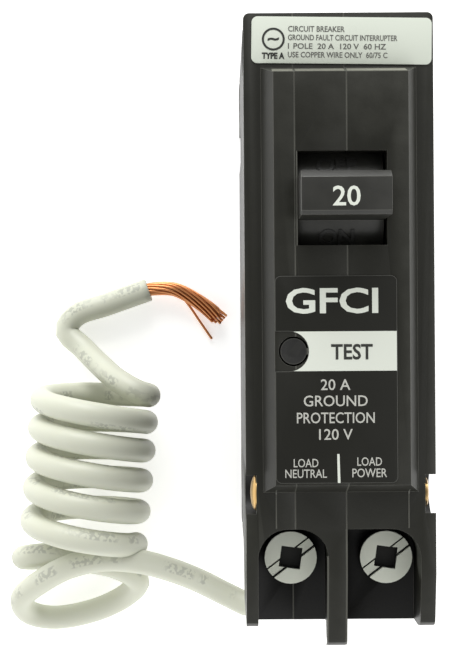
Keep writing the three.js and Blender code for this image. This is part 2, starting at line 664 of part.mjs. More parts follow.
function buildTripMechanism() {
  const span = centred(CRADLE_X, CRADLE_THICKNESS);
  const outline = [[-8.6, -2.6], [-8.6, -0.6], [-2, 2], [3, 2.6], [8.6, 4], [8.8, 2.2], [3, -0.6], [-1, -2.2]];
  const bore = bar('x', CRADLE_PIVOT, ARM_PIN_RADIUS + SLIDE_CLEARANCE, [span[0] - 1, span[1] + 1], 16);
  addPiece('cradle', prismAlongX(shifted(outline, CRADLE_PIVOT), span).subtract(bore), STEEL);
  const cradlePinSpan = [span[0] - 0.6, rightCavity[1] - 0.6];
  addPiece('cradle_pin', bar('x', CRADLE_PIVOT, ARM_PIN_RADIUS, cradlePinSpan, 12), STEEL);
  addPiece('toggle_spring', springBetween(7.65, [16, 34.5], [3.6, 40], 0.95), STEEL);

  addPiece('bimetal', box([4, 8], [-16, -15.2], [14, 38]), { color: 0x9a8f7c, roughness: 0.4, metalness: 1 });
  const yokeOuter = box([2.6, 9.4], [-18.6, -14.1], [20, 30]);
  const yokeInner = box([3.6, 8.4], [-17.4, -13], [19, 31]);
  addPiece('magnet_yoke', yokeOuter.subtract(yokeInner), STEEL);
  addPiece('armature', box([2.8, 9.2], [-13.4, -12.4], [17.5, 33.4]), STEEL);
  addPiece('armature_spring', bar('y', [6, 18.8], 0.9, [-12.2, -8.6], 12), STEEL);
}

// ---------------------------------------------------------------- current path at the load end

function roundTube(points, diameter, steps, sides) {
  const curve = new THREE.CatmullRomCurve3(points.map((point) => new THREE.Vector3(...point)));
  const section = new THREE.Shape();
  for (let i = 0; i < sides; i += 1) {
    const angle = (2 * Math.PI * i) / sides;
    const move = i === 0 ? 'moveTo' : 'lineTo';
    section[move]((diameter / 2) * Math.cos(angle), (diameter / 2) * Math.sin(angle));
  }
  section.closePath();
  return new THREE.ExtrudeGeometry(section, { steps, extrudePath: curve, curveSegments: 1 });
}

function buildShunt() {
  const route = [[ARM_X, 6.2, 31.8], [ARM_X, 1, 30.2], [ARM_X, -6, 32.5], [ARM_X, -11.5, 37.2], [ARM_X, -14.8, 39.4]];
  addPiece('shunt_braid', solid(roundTube(route, 1.9, 16, 8)), COPPER);
}

function buildCalibrationScrew() {
  const shank = bar('z', CALIBRATION_AT, 1.1, [0.8, 11.6], 16);
  const head = bar('z', CALIBRATION_AT, 2, [0.15, 0.8], 16);
  const slot = box(centred(CALIBRATION_AT[0], 5), centred(CALIBRATION_AT[1], 0.6), [0, 0.45]);
  addPiece('calibration_screw', shank.add(head).subtract(slot), BRASS);
}

const strapTop = chamberTop - SEAT_CLEARANCE;
const strapBottom = strapTop - STRAP_THICKNESS;
const screwSeat = pocketFloor + SEAT_CLEARANCE;
const clampBottom = strapBottom - 7.4;
const chamberEnd = TERMINAL_END + WALL;

function strapPlate(x) {
  const plate = box(centred(x, STRAP_WIDTH), [chamberEnd + 1.2, TERMINAL_Y + 6.3], [strapBottom, strapTop]);
  const hole = bar('z', [x, TERMINAL_Y], SCREW_SHANK_RADIUS + SEAT_CLEARANCE, [strapBottom - 1, strapTop + 1]);
  return plate.subtract(hole);
}

function strapTail(x, width, bottom) {
  return box(centred(x, width), [TERMINAL_Y + 6.3, TERMINAL_Y + 7.5], [bottom, strapTop]);
}

function buildTerminal(prefix, x, strap) {
  addPiece(`${prefix}_strap`, strap, BRASS);

  const clampY = [chamberEnd + 1, TERMINAL_Y + 4.2];
  const plate = box(centred(x, CLAMP_WIDTH), clampY, [clampBottom, clampBottom + CLAMP_THICKNESS]);
  const flanges = [-1, 1].map((side) => box(
    centred(x + side * (CLAMP_WIDTH / 2 - 0.4), 0.8),
    clampY,
    [clampBottom, clampBottom + CLAMP_THICKNESS + CLAMP_FLANGE],
  ));
  const thread = bar('z', [x, TERMINAL_Y], SCREW_SHANK_RADIUS + SLIDE_CLEARANCE, [clampBottom - 1, strapTop]);
  addPiece(`${prefix}_clamp`, joinAll([plate, ...flanges]).subtract(thread), STEEL);

  const at = [0, TERMINAL_Y];
  const headTop = screwSeat + SCREW_HEAD_HEIGHT;
  const head = bar('z', at, SCREW_HEAD_RADIUS, [screwSeat, headTop], 32);
  const shank = bar('z', at, SCREW_SHANK_RADIUS, [screwSeat - SCREW_SHANK_LENGTH, screwSeat + 0.5], 20);
  const cutAt = (width, length, depth, angle, aside) => {
    const geometry = new THREE.BoxGeometry(length, width, 2 * depth);
    geometry.translate(0, aside, 0);
    geometry.rotateZ(angle);
    geometry.translate(0, TERMINAL_Y, headTop);
    return solid(geometry);
  };
  const across = 3 * SCREW_HEAD_RADIUS;
  const grooveOffset = (SCREW_SLOT + SCREW_GROOVE) / 2;
  const recess = [
    cutAt(SCREW_SQUARE, SCREW_SQUARE, SCREW_SQUARE_DEPTH, SCREW_SQUARE_ANGLE, 0),
    cutAt(SCREW_SLOT, across, SCREW_SLOT_DEPTH, SCREW_SLOT_ANGLE, 0),
    cutAt(SCREW_GROOVE, across, SCREW_GROOVE_DEPTH, SCREW_SLOT_ANGLE, grooveOffset),
    cutAt(SCREW_GROOVE, across, SCREW_GROOVE_DEPTH, SCREW_SLOT_ANGLE, -grooveOffset),
  ];
  const screw = geometryOf(cutAll(head.add(shank), recess));
  screw.translate(x, 0, 0);
  addPiece(`${prefix}_screw`, screw, STEEL);
}

function buildTerminals() {
  const foot = box([4, 8], [TERMINAL_Y + 6.3, -16.3], [12, 13.2]);
  const power = joinAll([strapPlate(TERMINAL_X), strapTail(6, 4, 12), foot]);
  buildTerminal('power', TERMINAL_X, power);
  const neutral = strapPlate(-TERMINAL_X).add(strapTail(-6, 4, 30));
  buildTerminal('neutral', -TERMINAL_X, neutral);
}

// ---------------------------------------------------------------- arc chute

function buildArcChute() {
  const back = LINE_END - WALL - 0.3;
  const front = jawSlot[1] + WALL + 0.3;
  const levels = [18.5, 33.5];
  const outer = box([rightCavity[0] + 0.4, rightCavity[1] - 0.2], [front, back], levels);
  const inner = box([rightCavity[0] + 0.9, rightCavity[1] - 0.7], [front - 1, back - 0.5], [17, 35]);
  addPiece('arc_chute_frame', outer.subtract(inner), FIBRE);
  for (let i = 0; i < 4; i += 1) {
    const level = 20.2 + 3.6 * i;
    const plate = box([rightCavity[0] + 1.1, rightCavity[1] - 0.9], [front + 0.2, back - 0.7], [level, level + 0.8]);
    const notch = box(centred(ARM_X, 2.4), [front - 1, front + 2], [level - 1, level + 2]);
    addPiece(`arc_plate_${i + 1}`, plate.subtract(notch), STEEL);
  }
}

// ---------------------------------------------------------------- ground-fault electronics

function buildElectronics() {
  const board = box([boardFace - 1, boardFace], [-17, 24], [5, 40]);
  addPiece('circuit_board', board, { color: 0x2f5a3a, roughness: 0.5, metalness: 0 });
  const varnish = { color: 0x6e4a2a, roughness: 0.5, metalness: 0.2 };
  addPiece('sensing_toroid', ring('x', TOROID_AT, 5.5, 2.6, [boardFace + 0.8, boardFace + 4.2]), varnish);
  addPiece('grounding_toroid', ring('x', TOROID_AT, 5.5, 2.6, [boardFace + 4.5, WEB_LEFT - 0.4]), varnish);
  const [toroidY, toroidZ] = TOROID_AT;
  const reach = [boardFace + 0.2, WEB_RIGHT + 2];
  addPiece('line_conductor', bar('x', [toroidY - 1, toroidZ], 0.8, reach, 12), COPPER);
  addPiece('neutral_conductor', bar('x', [toroidY + 1, toroidZ], 0.8, [reach[0], WEB_LEFT - 0.2], 12), COPPER);

  const black = { color: 0x222222, roughness: 0.5, metalness: 0 };
  const onBoard = (depth) => [boardFace + 0.2, boardFace + 0.2 + depth];
  addPiece('ic_chip', box(onBoard(1.5), [12, 17], [28, 34]), black);
  addPiece('thyristor', box(onBoard(2.2), [-1, 2.4], [20, 24.5]), black);
  addPiece('varistor', bar('x', [8, 26], 3.4, onBoard(2.4)), { color: 0x2a5d9c, roughness: 0.5, metalness: 0 });
  const can = { color: 0x3a3f6b, roughness: 0.4, metalness: 0.2 };
  addPiece('capacitor_1', bar('x', [20, 9.5], 2.6, onBoard(6)), can);
  addPiece('capacitor_2', bar('x', [20, 16], 2.6, onBoard(5.4)), can);
}

function buildSolenoid() {
  const [x, z] = SOLENOID_AXIS;
  addPiece('solenoid_coil', ring('y', SOLENOID_AXIS, 3.6, 1.7, [1.1, 12.1]), COPPER);
  const outer = box([x - 3.9, x + 3.9], [0, 13.2], [z - 4.9, z + 2.6]);
  const inner = box([x - 5, x + 5], [0.8, 12.4], [z - 4, z + 4]);
  const hole = bar('y', SOLENOID_AXIS, 1.6, [-1, 14]);
  addPiece('solenoid_frame', outer.subtract(inner).subtract(hole), STEEL);
  const plunger = joinAll([
    bar('y', SOLENOID_AXIS, 1.3, [-3, 10]),
    bar('y', SOLENOID_AXIS, 2.3, [-3.4, -2.8]),
    bar('y', SOLENOID_AXIS, 0.7, [LEVER_Y - 1, -3.2], 12),
    bar('y', SOLENOID_AXIS, 1.6, [LEVER_Y - 1.9, LEVER_Y - 0.9]),
  ]);
  addPiece('plunger', plunger, STEEL);
  addPiece('plunger_spring', ring('y', SOLENOID_AXIS, 2.2, 1.5, [-2.65, -0.15]), STEEL);

  const beam = box([x - 1.9, LEVER_X + 4.8], centred(LEVER_Y, 1), centred(z, 2));
  const trunnion = bar('z', [LEVER_X, LEVER_Y], 0.55, centred(z, 4.6), 12);
  const fork = box([x - 2.5, x + 0.95], [LEVER_Y - 1, LEVER_Y + 1], centred(z, 1.9));
  const lever = beam.add(trunnion).subtract(fork);
  addPiece('trip_lever', lever, { color: 0xd8d4c4, roughness: 0.5, metalness: 0 });
}

// ---------------------------------------------------------------- neutral pigtail

// Route of the centre line from the case to the coil, then from the coil to the stripped end.
const LEAD_ROUTE = [
  [-8.4, -30.6, 12.2],
  [-8.4, -33.4, 12.2],
  [-7.8, -36.6, 11.8],
  [-7, -40.2, 10.8],
  [-8.2, -43.7, 9.4],
  [-11.2, -45.1, 8],
  [-14.8, -43.8, 7],
  [-19.5, -41.2, 8],
  [-24, -38.8, 10.8],
  [-29, -36.8, 13.8],
  [-34.5, -36, 15.6],
  [-40, -37.2, 14.8],
  [-45.2, -40.2, 11.6],
  [-49.2, -44, 7],
  [-48.6, -47.2, 3.2],
  [-44.5, -48.3, 2.2],
  [-37.5, -47, 2.3],
  [-32.2, -44.2, 4],
  [-30, -41, 7.4],
  [-33.2, -38.4, 9.9],
  [-38.6, -37.1, 10.6],
  [-44.6, -36.5, 9],
  [-49.2, -37.4, 6],
  [-47.4, -38.1, 2.8],
  [-41.5, -37.7, 2.2],
  [-35, -37, 3],
  [-30.2, -36.4, 7],
];

const TAIL_ROUTE = [
  [-28.5, -10.6, 9.6],
  [-29.4, -9.6, 12.2],
  [-32.6, -7.9, 10.8],
  [-36, -5.4, 6.8],
  [-39.4, -2.4, 3.2],
  [-42.2, 0.4, 2.1],
  [-40.6, 2.9, 2.1],
  [-35.2, 4.8, 2.1],
  [-28.3, 7.2, 2.1],
];

const CONDUCTOR_ROUTE = [
  [-27.7, 7.35, 2.1],
  [-24.1, 7.3, 2],
  [-21.5, 6.2, 1.8],
  [-18.4, 4.2, 1.7],
  [-15.6, 1.9, 1.6],
];

function buildPigtail() {
  const jacket = { color: 0xdadcca, roughness: 0.5, metalness: 0 };
  const exit = [lowerEndY - 0.9, lowerEndY + WALL + 0.5];
  const bush = ring('y', pigtailExit, bushingRadius, WIRE_DIAMETER / 2 + SEAT_CLEARANCE, exit);
  addPiece('pigtail_bushing', bush, { color: 0x2a2a28, roughness: 0.7, metalness: 0 });
  addPiece('pigtail_lead', solid(roundTube(LEAD_ROUTE, WIRE_DIAMETER, 48, 8)), jacket);
  addPiece('pigtail_tail', solid(roundTube(TAIL_ROUTE, WIRE_DIAMETER, 18, 8)), jacket);
  addPiece('pigtail_conductor', solid(roundTube(CONDUCTOR_ROUTE, CONDUCTOR_DIAMETER, 8, 8)), COPPER);

  const outer = (COIL_MEAN_DIAMETER + WIRE_DIAMETER) / 2;
  const inner = (COIL_MEAN_DIAMETER - WIRE_DIAMETER) / 2;
  const half = COIL_LENGTH / 2;
  const profile = [[inner, -half], [outer, -half], [outer, half], [inner, half], [inner, -half]];
  const geometry = new THREE.LatheGeometry(profile.map(([r, y]) => new THREE.Vector2(r, y)), 28);
  geometry.rotateZ(COIL_TURN);
  geometry.translate(...COIL_MIDDLE, outer + 0.15);
  addPiece('pigtail_coil', solid(geometry), jacket);
}

buildCase();
buildRivets();
buildLabels();
buildHandle();
buildTestButton();
buildLineJaw();
buildContactArm();
buildTripMechanism();
buildShunt();
buildCalibrationScrew();
buildTerminals();
buildArcChute();
buildElectronics();
buildSolenoid();
buildPigtail();

export default object;
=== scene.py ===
"""Looks of a single-pole plug-on ground-fault breaker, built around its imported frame."""

from __future__ import annotations

import json
import logging
import math
from dataclasses import dataclass, field
from enum import Enum
from typing import Callable, Iterable, Sequence

import bmesh
import bpy
from mathutils import Matrix, Vector
from mathutils.bvhtree import BVHTree

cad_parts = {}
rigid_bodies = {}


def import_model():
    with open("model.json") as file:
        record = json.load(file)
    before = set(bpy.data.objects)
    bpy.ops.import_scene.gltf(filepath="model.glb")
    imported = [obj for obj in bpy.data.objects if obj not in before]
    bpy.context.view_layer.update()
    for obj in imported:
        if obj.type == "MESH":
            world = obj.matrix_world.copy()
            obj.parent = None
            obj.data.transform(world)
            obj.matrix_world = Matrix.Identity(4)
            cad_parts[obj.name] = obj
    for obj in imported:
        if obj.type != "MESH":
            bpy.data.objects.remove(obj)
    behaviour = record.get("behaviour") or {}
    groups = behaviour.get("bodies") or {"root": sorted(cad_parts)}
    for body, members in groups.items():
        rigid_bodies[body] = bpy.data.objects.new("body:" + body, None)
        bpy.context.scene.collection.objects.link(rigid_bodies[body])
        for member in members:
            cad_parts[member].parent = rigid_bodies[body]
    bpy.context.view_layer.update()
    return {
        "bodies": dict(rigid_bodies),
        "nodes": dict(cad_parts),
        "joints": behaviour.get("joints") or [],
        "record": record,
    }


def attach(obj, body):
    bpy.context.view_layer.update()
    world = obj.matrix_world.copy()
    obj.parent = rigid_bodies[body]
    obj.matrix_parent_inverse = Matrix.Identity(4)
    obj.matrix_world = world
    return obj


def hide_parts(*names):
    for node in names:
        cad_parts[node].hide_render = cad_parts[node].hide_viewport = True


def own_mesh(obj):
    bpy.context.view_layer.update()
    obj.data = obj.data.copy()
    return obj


LOG = logging.getLogger("breaker")
MM = 0.001
ROOT = "breaker"
WELD_DISTANCE = 0.0005 * MM
FLAT_ANGLE = math.radians(0.6)
ROUNDED_ANGLE = math.radians(28)
BUMP_DEPTH = 0.05 * MM
DUST = (0.42, 0.41, 0.38)
ROUGHNESS_SPREAD = 0.09

Point = tuple[float, float, float]
Colour = tuple[float, float, float]


# ------------------------------------------------------------------ small helpers


def mm(*values: float) -> Vector:
    """Turns millimetres into a vector in metres."""
    return Vector([value * MM for value in values])


def link(obj: bpy.types.Object) -> bpy.types.Object:
    """Adds an object to the scene and returns it."""
    bpy.context.scene.collection.objects.link(obj)
    return obj


def mesh_object(name: str, mesh: bpy.types.Mesh, material: bpy.types.Material) -> bpy.types.Object:
    """Makes a linked object of a mesh with one material.

    Args:
        name: The piece's name.
        mesh: Its mesh, already in place.
        material: Its only material.

    Returns:
        The new object.
    """
    mesh.materials.clear()
    mesh.materials.append(material)
    return link(bpy.data.objects.new(name, mesh))


def plain_mesh(obj: bpy.types.Object, name: str) -> bpy.types.Mesh:
    """Evaluates an object with its modifiers and returns the result as a plain mesh."""
    bpy.context.view_layer.update()
    graph = bpy.context.evaluated_depsgraph_get()
    mesh = bpy.data.meshes.new_from_object(obj.evaluated_get(graph), depsgraph=graph)
    mesh.name = name
    return mesh


def discard(obj: bpy.types.Object) -> None:
    """Removes a helper object."""
    bpy.data.objects.remove(obj, do_unlink=True)


def finished_mesh(builder: bmesh.types.BMesh, name: str) -> bpy.types.Mesh:
    """Turns a mesh under construction into a named mesh, and frees it."""
    mesh = bpy.data.meshes.new(name)
    builder.to_mesh(mesh)
    builder.free()
    return mesh


def circle(builder: bmesh.types.BMesh, middle: Vector, radius: float, sides: int,
           side: Vector, across: Vector) -> list[bmesh.types.BMVert]:
    """Adds a ring of points to a mesh under construction.

    Args:
        builder: The mesh.
        middle: The ring's middle, in metres.
        radius: Its radius in millimetres.
        sides: How many points it has.
        side: The way to its first point.
        across: The way to the point a quarter turn on.

    Returns:
        The points, in order.
    """
    turns = [math.tau * i / sides for i in range(sides)]
    return [builder.verts.new(middle + (math.cos(turn) * side + math.sin(turn) * across) * (radius * MM))
            for turn in turns]


def bridge(builder: bmesh.types.BMesh, first: Sequence[bmesh.types.BMVert],
           second: Sequence[bmesh.types.BMVert]) -> list[bmesh.types.BMFace]:
    """Joins two rings of points with faces, which are triangles where a ring is a single point."""
    faces = []
    for i in range(len(first)):
        j = (i + 1) % len(first)
        corners = list(dict.fromkeys((first[i], first[j], second[j], second[i])))
        if len(corners) > 2:
            faces.append(builder.faces.new(corners))
    return faces


def add_hull(builder: bmesh.types.BMesh, corners: Iterable[Vector]) -> None:
    """Adds the convex hull of some corners to a mesh under construction."""
    bmesh.ops.convex_hull(builder, input=[builder.verts.new(corner) for corner in corners])


def joined(meshes: Sequence[bpy.types.Mesh], name: str) -> bpy.types.Mesh:
    """Joins several meshes into one."""
    builder = bmesh.new()
    for mesh in meshes:
        builder.from_mesh(mesh)
    return finished_mesh(builder, name)


def smooth_by_angle(mesh: bpy.types.Mesh, degrees: float) -> None:
    """Shades a mesh smooth, keeping edges sharper than an angle."""
    builder = bmesh.new()
    builder.from_mesh(mesh)
    limit = math.radians(degrees)
    for face in builder.faces:
        face.smooth = True
    for edge in builder.edges:
        if len(edge.link_faces) == 2:
            edge.smooth = edge.calc_face_angle(0.0) < limit
    builder.to_mesh(mesh)
    builder.free()


def report(piece: bpy.types.Object) -> bpy.types.Object:
    """Logs a finished piece and returns it."""
    faces = len(piece.data.polygons) if piece.type == "MESH" else 0
    LOG.info("%s: %d faces", piece.name, faces)
    return piece


# ------------------------------------------------------------------ node trees and shader groups


class NodeSheet:
    """A node tree under construction."""

    def __init__(self, tree: bpy.types.NodeTree) -> None:
        """Takes the tree to add to."""
        self.tree = tree
        self.nodes = tree.nodes
        self.links = tree.links

    def feed(self, socket: bpy.types.NodeSocket, value: object) -> None:
        """Links a socket to another one, or sets its value."""
        if isinstance(value, bpy.types.NodeSocket):
            self.links.new(value, socket)
        else:
            socket.default_value = value

    def add(self, kind: str, inputs: dict[str | int, object] | None = None, **options: object) -> bpy.types.Node:
        """Adds a node.

        Args:
            kind: The node's type.
            inputs: A socket or a value for each input, by name or place.
            **options: The node's own settings, by name.

        Returns:
            The new node.
        """
        node = self.nodes.new(kind)
        for name, value in options.items():
            setattr(node, name, value)
        for name, value in (inputs or {}).items():
            self.feed(node.inputs[name], value)
        return node


class ShaderSheet(NodeSheet):
    """A shader tree under construction, with the nodes that most looks share."""

    def math(self, operation: str, first: object, second: object, clamp: bool = False) -> bpy.types.NodeSocket:
        """Adds a math node on sockets or numbers and returns its result."""
        return self.add("ShaderNodeMath", {0: first, 1: second}, operation=operation, use_clamp=clamp).outputs[0]

    def axis(self, vector: bpy.types.NodeSocket, name: str) -> bpy.types.NodeSocket:
        """Returns one axis of a vector."""
        return self.add("ShaderNodeSeparateXYZ", {0: vector}).outputs[name]

    def place(self, kind: str = "Object") -> bpy.types.NodeSocket:
        """Returns texture coordinates."""
        return self.add("ShaderNodeTexCoord").outputs[kind]

    def noise(self, scale: object, detail: float, stretch: Point = (1, 1, 1)) -> bpy.types.NodeSocket:
        """Adds noise over Object coordinates and returns its value."""
        mapping = self.add("ShaderNodeMapping", {"Vector": self.place(), "Scale": stretch})
        inputs = {"Vector": mapping.outputs["Vector"], "Scale": scale, "Detail": detail}
        return self.add("ShaderNodeTexNoise", inputs).outputs["Fac"]

    def ramp(self, source: bpy.types.NodeSocket, low: float, high: float,
             start: float = 0.0, end: float = 1.0) -> bpy.types.NodeSocket:
        """Maps a value between two limits to a range, clamped."""
        inputs = {"Value": source, "From Min": low, "From Max": high, "To Min": start, "To Max": end}
        return self.add("ShaderNodeMapRange", inputs).outputs["Result"]

    def mix(self, factor: bpy.types.NodeSocket, first: object, second: object) -> bpy.types.NodeSocket:
        """Mixes two colours, each a socket or a plain colour, and returns the result."""
        node = self.add("ShaderNodeMix", {"Factor": factor}, data_type="RGBA")
        for name, value in (("A", first), ("B", second)):
            socket = next(item for item in node.inputs if item.name == name and item.type == "RGBA")
            self.feed(socket, value if isinstance(value, bpy.types.NodeSocket) else (*value, 1))
        return next(item for item in node.outputs if item.type == "RGBA")

    def group(self, tree: bpy.types.NodeTree, values: dict[str, float]) -> bpy.types.Node:
        """Places a shared group and sets its inputs."""
        return self.add("ShaderNodeGroup", values, node_tree=tree)

    def bump(self, height: bpy.types.NodeSocket, strength: float) -> bpy.types.NodeSocket:
        """Returns a normal bent by a height."""
        inputs = {"Strength": strength, "Distance": BUMP_DEPTH, "Height": height}
        return self.add("ShaderNodeBump", inputs).outputs["Normal"]


class GroupBuilder(ShaderSheet):
    """Makes a shader node group with named inputs and outputs."""

    def __init__(self, name: str) -> None:
        """Starts an empty group."""
        super().__init__(bpy.data.node_groups.new(name, "ShaderNodeTree"))
        self.entry = self.nodes.new("NodeGroupInput")
        self.exit = self.nodes.new("NodeGroupOutput")

    def value_input(self, name: str, default: float) -> bpy.types.NodeSocket:
        """Adds a number input and returns its socket inside the group."""
        socket = self.tree.interface.new_socket(name, in_out="INPUT", socket_type="NodeSocketFloat")
        socket.default_value = default
        return self.entry.outputs[name]

    def value_output(self, name: str, source: bpy.types.NodeSocket) -> None:
        """Adds a number output fed by a socket."""
        self.tree.interface.new_socket(name, in_out="OUTPUT", socket_type="NodeSocketFloat")
        self.links.new(source, self.exit.inputs[name])


def moulding_grain_group() -> bpy.types.NodeTree:
    """Fine moulded texture: a height, and a slow mottling of the colour."""
    group = GroupBuilder("moulding_grain")
    grain = group.value_input("Grain Scale", 2500.0)
    mottle = group.value_input("Mottle Scale", 90.0)
    group.value_output("Height", group.noise(grain, 3.0))
    group.value_output("Mottle", group.noise(mottle, 4.0))
    return group.tree


def edge_wear_group() -> bpy.types.NodeTree:
    """A mask that is strong on outer edges and broken up by noise."""
    group = GroupBuilder("edge_wear")
    amount = group.value_input("Amount", 0.5)
    raised = group.math("SUBTRACT", group.add("ShaderNodeNewGeometry").outputs["Pointiness"], 0.51)
    strong = group.math("MULTIPLY", raised, 14.0, clamp=True)
    patchy = group.math("MULTIPLY", strong, group.noise(420.0, 3.0))
    group.value_output("Mask", group.math("MULTIPLY", patchy, amount, clamp=True))
    return group.tree


def dust_group() -> bpy.types.NodeTree:
    """A thin film of dust on faces that look up."""
    group = GroupBuilder("settled_dust")
    amount = group.value_input("Amount", 0.3)
    facing = group.axis(group.add("ShaderNodeNewGeometry").outputs["Normal"], "Z")
    upward = group.math("POWER", group.math("MAXIMUM", facing, 0.0), 3.0)
    film = group.math("MULTIPLY", upward, group.noise(160.0, 6.0))
    group.value_output("Mask", group.math("MULTIPLY", film, amount, clamp=True))
    return group.tree


class Groups:
    """The shared shader groups, built once."""

    def __init__(self) -> None:
        """Builds every group."""
        self.grain = moulding_grain_group()
        self.wear = edge_wear_group()
        self.dust = dust_group()


# ------------------------------------------------------------------ finishes


def started_material(name: str, values: dict[str, object]) -> tuple[bpy.types.Material, ShaderSheet, bpy.types.Node]:
    """Starts a material: returns it, its tree to add to, and its shader with plain values set."""
    material = bpy.data.materials.new(name)
    material.use_nodes = True
    sheet = ShaderSheet(material.node_tree)
    shader = sheet.nodes["Principled BSDF"]
    for socket, value in values.items():
        shader.inputs[socket].default_value = value
    return material, sheet, shader


class Brushing(Enum):
    """How a metal's surface lines run."""

    NONE = (1.0, 1.0, 1.0)
    ALONG_Y = (14.0, 0.4, 14.0)
    ALONG_X = (0.4, 14.0, 14.0)


@dataclass(frozen=True)
class Finish:
    """A surface: its colour and how its grain, wear, dust and brushing vary it, with painted shade below a height
    where set.
    """

    name: str
    base: Colour
    roughness: float
    metallic: float = 0.0
    coat: float = 0.0
    worn: Colour = (0.2, 0.2, 0.19)
    wear: float = 0.0
    dust: float = 0.0
    mottle: float = 0.25
    grain_scale: float = 2500.0
    bump: float = 0.15
    specular: float = 0.5
    glow: float = 0.0
    # Painted shade: below this height in millimetres the colour darkens, over the depth that follows, to the dark
    # colour after it.
    painted_shade_below: float | None = None
    painted_shade_depth: float = 0.25
    painted_shade_colour: Colour = (0.012, 0.012, 0.010)
    brushing: Brushing = Brushing.NONE

    def build(self, groups: Groups) -> bpy.types.Material:
        """Makes the node material.

        Args:
            groups: The shared shader groups.

        Returns:
            The finished material.
        """
        material, sheet, shader = started_material(self.name, {
            "Metallic": self.metallic, "Specular IOR Level": self.specular, "Coat Weight": self.coat,
            "Coat Roughness": 0.25, "Emission Color": (1.0, 1.0, 1.0, 1.0), "Emission Strength": self.glow})
        grain = sheet.group(groups.grain, {"Grain Scale": self.grain_scale})
        wear = sheet.group(groups.wear, {"Amount": self.wear})
        dust = sheet.group(groups.dust, {"Amount": self.dust})
        mottle = grain.outputs["Mottle"]

        dark = [channel * (1 - self.mottle) for channel in self.base]
        light = [min(1.0, channel * (1 + self.mottle)) for channel in self.base]
        rubbed = sheet.mix(wear.outputs["Mask"], sheet.mix(mottle, dark, light), self.worn)
        dusty = sheet.mix(dust.outputs["Mask"], rubbed, DUST)
        # Where a height is set, the colour darkens below it: painted shade.
        sheet.feed(shader.inputs["Base Color"], self._paint_shade(sheet, dusty))

        smoothest = max(0.05, self.roughness - ROUGHNESS_SPREAD)
        roughest = min(1.0, self.roughness + ROUGHNESS_SPREAD)
        sheet.feed(shader.inputs["Roughness"], sheet.ramp(mottle, 0.0, 1.0, smoothest, roughest))

        brushed = self.brushing is not Brushing.NONE
        height = sheet.noise(900.0, 2.0, self.brushing.value) if brushed else grain.outputs["Height"]
        sheet.feed(shader.inputs["Normal"], sheet.bump(height, self.bump))
        return material

    def _paint_shade(self, sheet: ShaderSheet, colour: bpy.types.NodeSocket) -> bpy.types.NodeSocket:
        """Darkens the colour below a height: painted shade standing in for the shade that falls in a recess."""
        if self.painted_shade_below is None:
            return colour
        depth = sheet.ramp(sheet.axis(sheet.place(), "Z"), self.painted_shade_below * MM,
                           (self.painted_shade_below - self.painted_shade_depth) * MM)
        return sheet.mix(depth, colour, self.painted_shade_colour)


# The case darkens to near-black below 47.6 mm over 6 mm, sides included: painted shade for the terminal pockets and
# the handle slot.
CASE = Finish("case_phenolic", (0.0125, 0.0125, 0.0092), 0.38, wear=0.4, dust=0.010, mottle=0.10,
              worn=(0.07, 0.07, 0.06), bump=0.3, specular=0.30, painted_shade_below=47.6, painted_shade_depth=6.0,
              painted_shade_colour=(0.0025, 0.0025, 0.002))
# Lighter colour for the case's rounded edges: a painted highlight.
CASE_EDGE_HIGHLIGHT = Finish("case_edge_highlight", (0.110, 0.110, 0.094), 0.36, mottle=0.3, bump=0.3)
SEAM = Finish("case_seam", (0.075, 0.075, 0.063), 0.45, mottle=0.5, bump=0.3)
# Pale colour for the line-side slope of the raised front: a painted highlight.
SLOPE_HIGHLIGHT = Finish("case_slope_highlight", (0.20, 0.20, 0.165), 0.4, mottle=0.35, bump=0.3)
HANDLE = Finish("handle_black", (0.0145, 0.0145, 0.0125), 0.34, wear=0.4, dust=0.008, worn=(0.08, 0.08, 0.07),
                bump=0.2, specular=0.45)
# Lighter colour for the handle's rounded edges: a painted highlight.
HANDLE_EDGE_HIGHLIGHT = Finish("handle_edge_highlight", (0.06, 0.06, 0.052), 0.3, mottle=0.2, bump=0.2)
BUTTON = Finish("button_black", (0.010, 0.010, 0.009), 0.45, wear=0.3, worn=(0.05, 0.05, 0.045), bump=0.2)
# Lighter colour for the button's rounded edges and rim: a painted highlight.
BUTTON_EDGE_HIGHLIGHT = Finish("button_edge_highlight", (0.06, 0.06, 0.054), 0.4, mottle=0.2)
LABEL_BLACK = Finish("label_black", (0.0095, 0.0095, 0.0070), 0.5, dust=0.010, mottle=0.15, bump=0.06,
                     specular=0.22)
# Lighter colour for the front label's rounded edges: a painted highlight.
LABEL_EDGE_HIGHLIGHT = Finish("label_edge_highlight", (0.060, 0.060, 0.052), 0.4, mottle=0.1)
LABEL_CREAM = Finish("label_cream", (0.62, 0.66, 0.58), 0.5, mottle=0.03, bump=0.05)
WHITE_INK = Finish("white_ink", (0.66, 0.69, 0.62), 0.55, mottle=0.04, bump=0.05)
DULL_INK = Finish("dull_white_ink", (0.46, 0.46, 0.42), 0.55, mottle=0.10, bump=0.05)
DARK_INK = Finish("dark_ink", (0.020, 0.022, 0.018), 0.55, mottle=0.3, bump=0.05)
GREY_INK = Finish("grey_ink", (0.10, 0.10, 0.09), 0.55, mottle=0.3, bump=0.05)
RIVET = Finish("rivet_brass", (0.62, 0.40, 0.16), 0.33, metallic=1.0, wear=0.3, worn=(0.85, 0.66, 0.36), mottle=0.3)
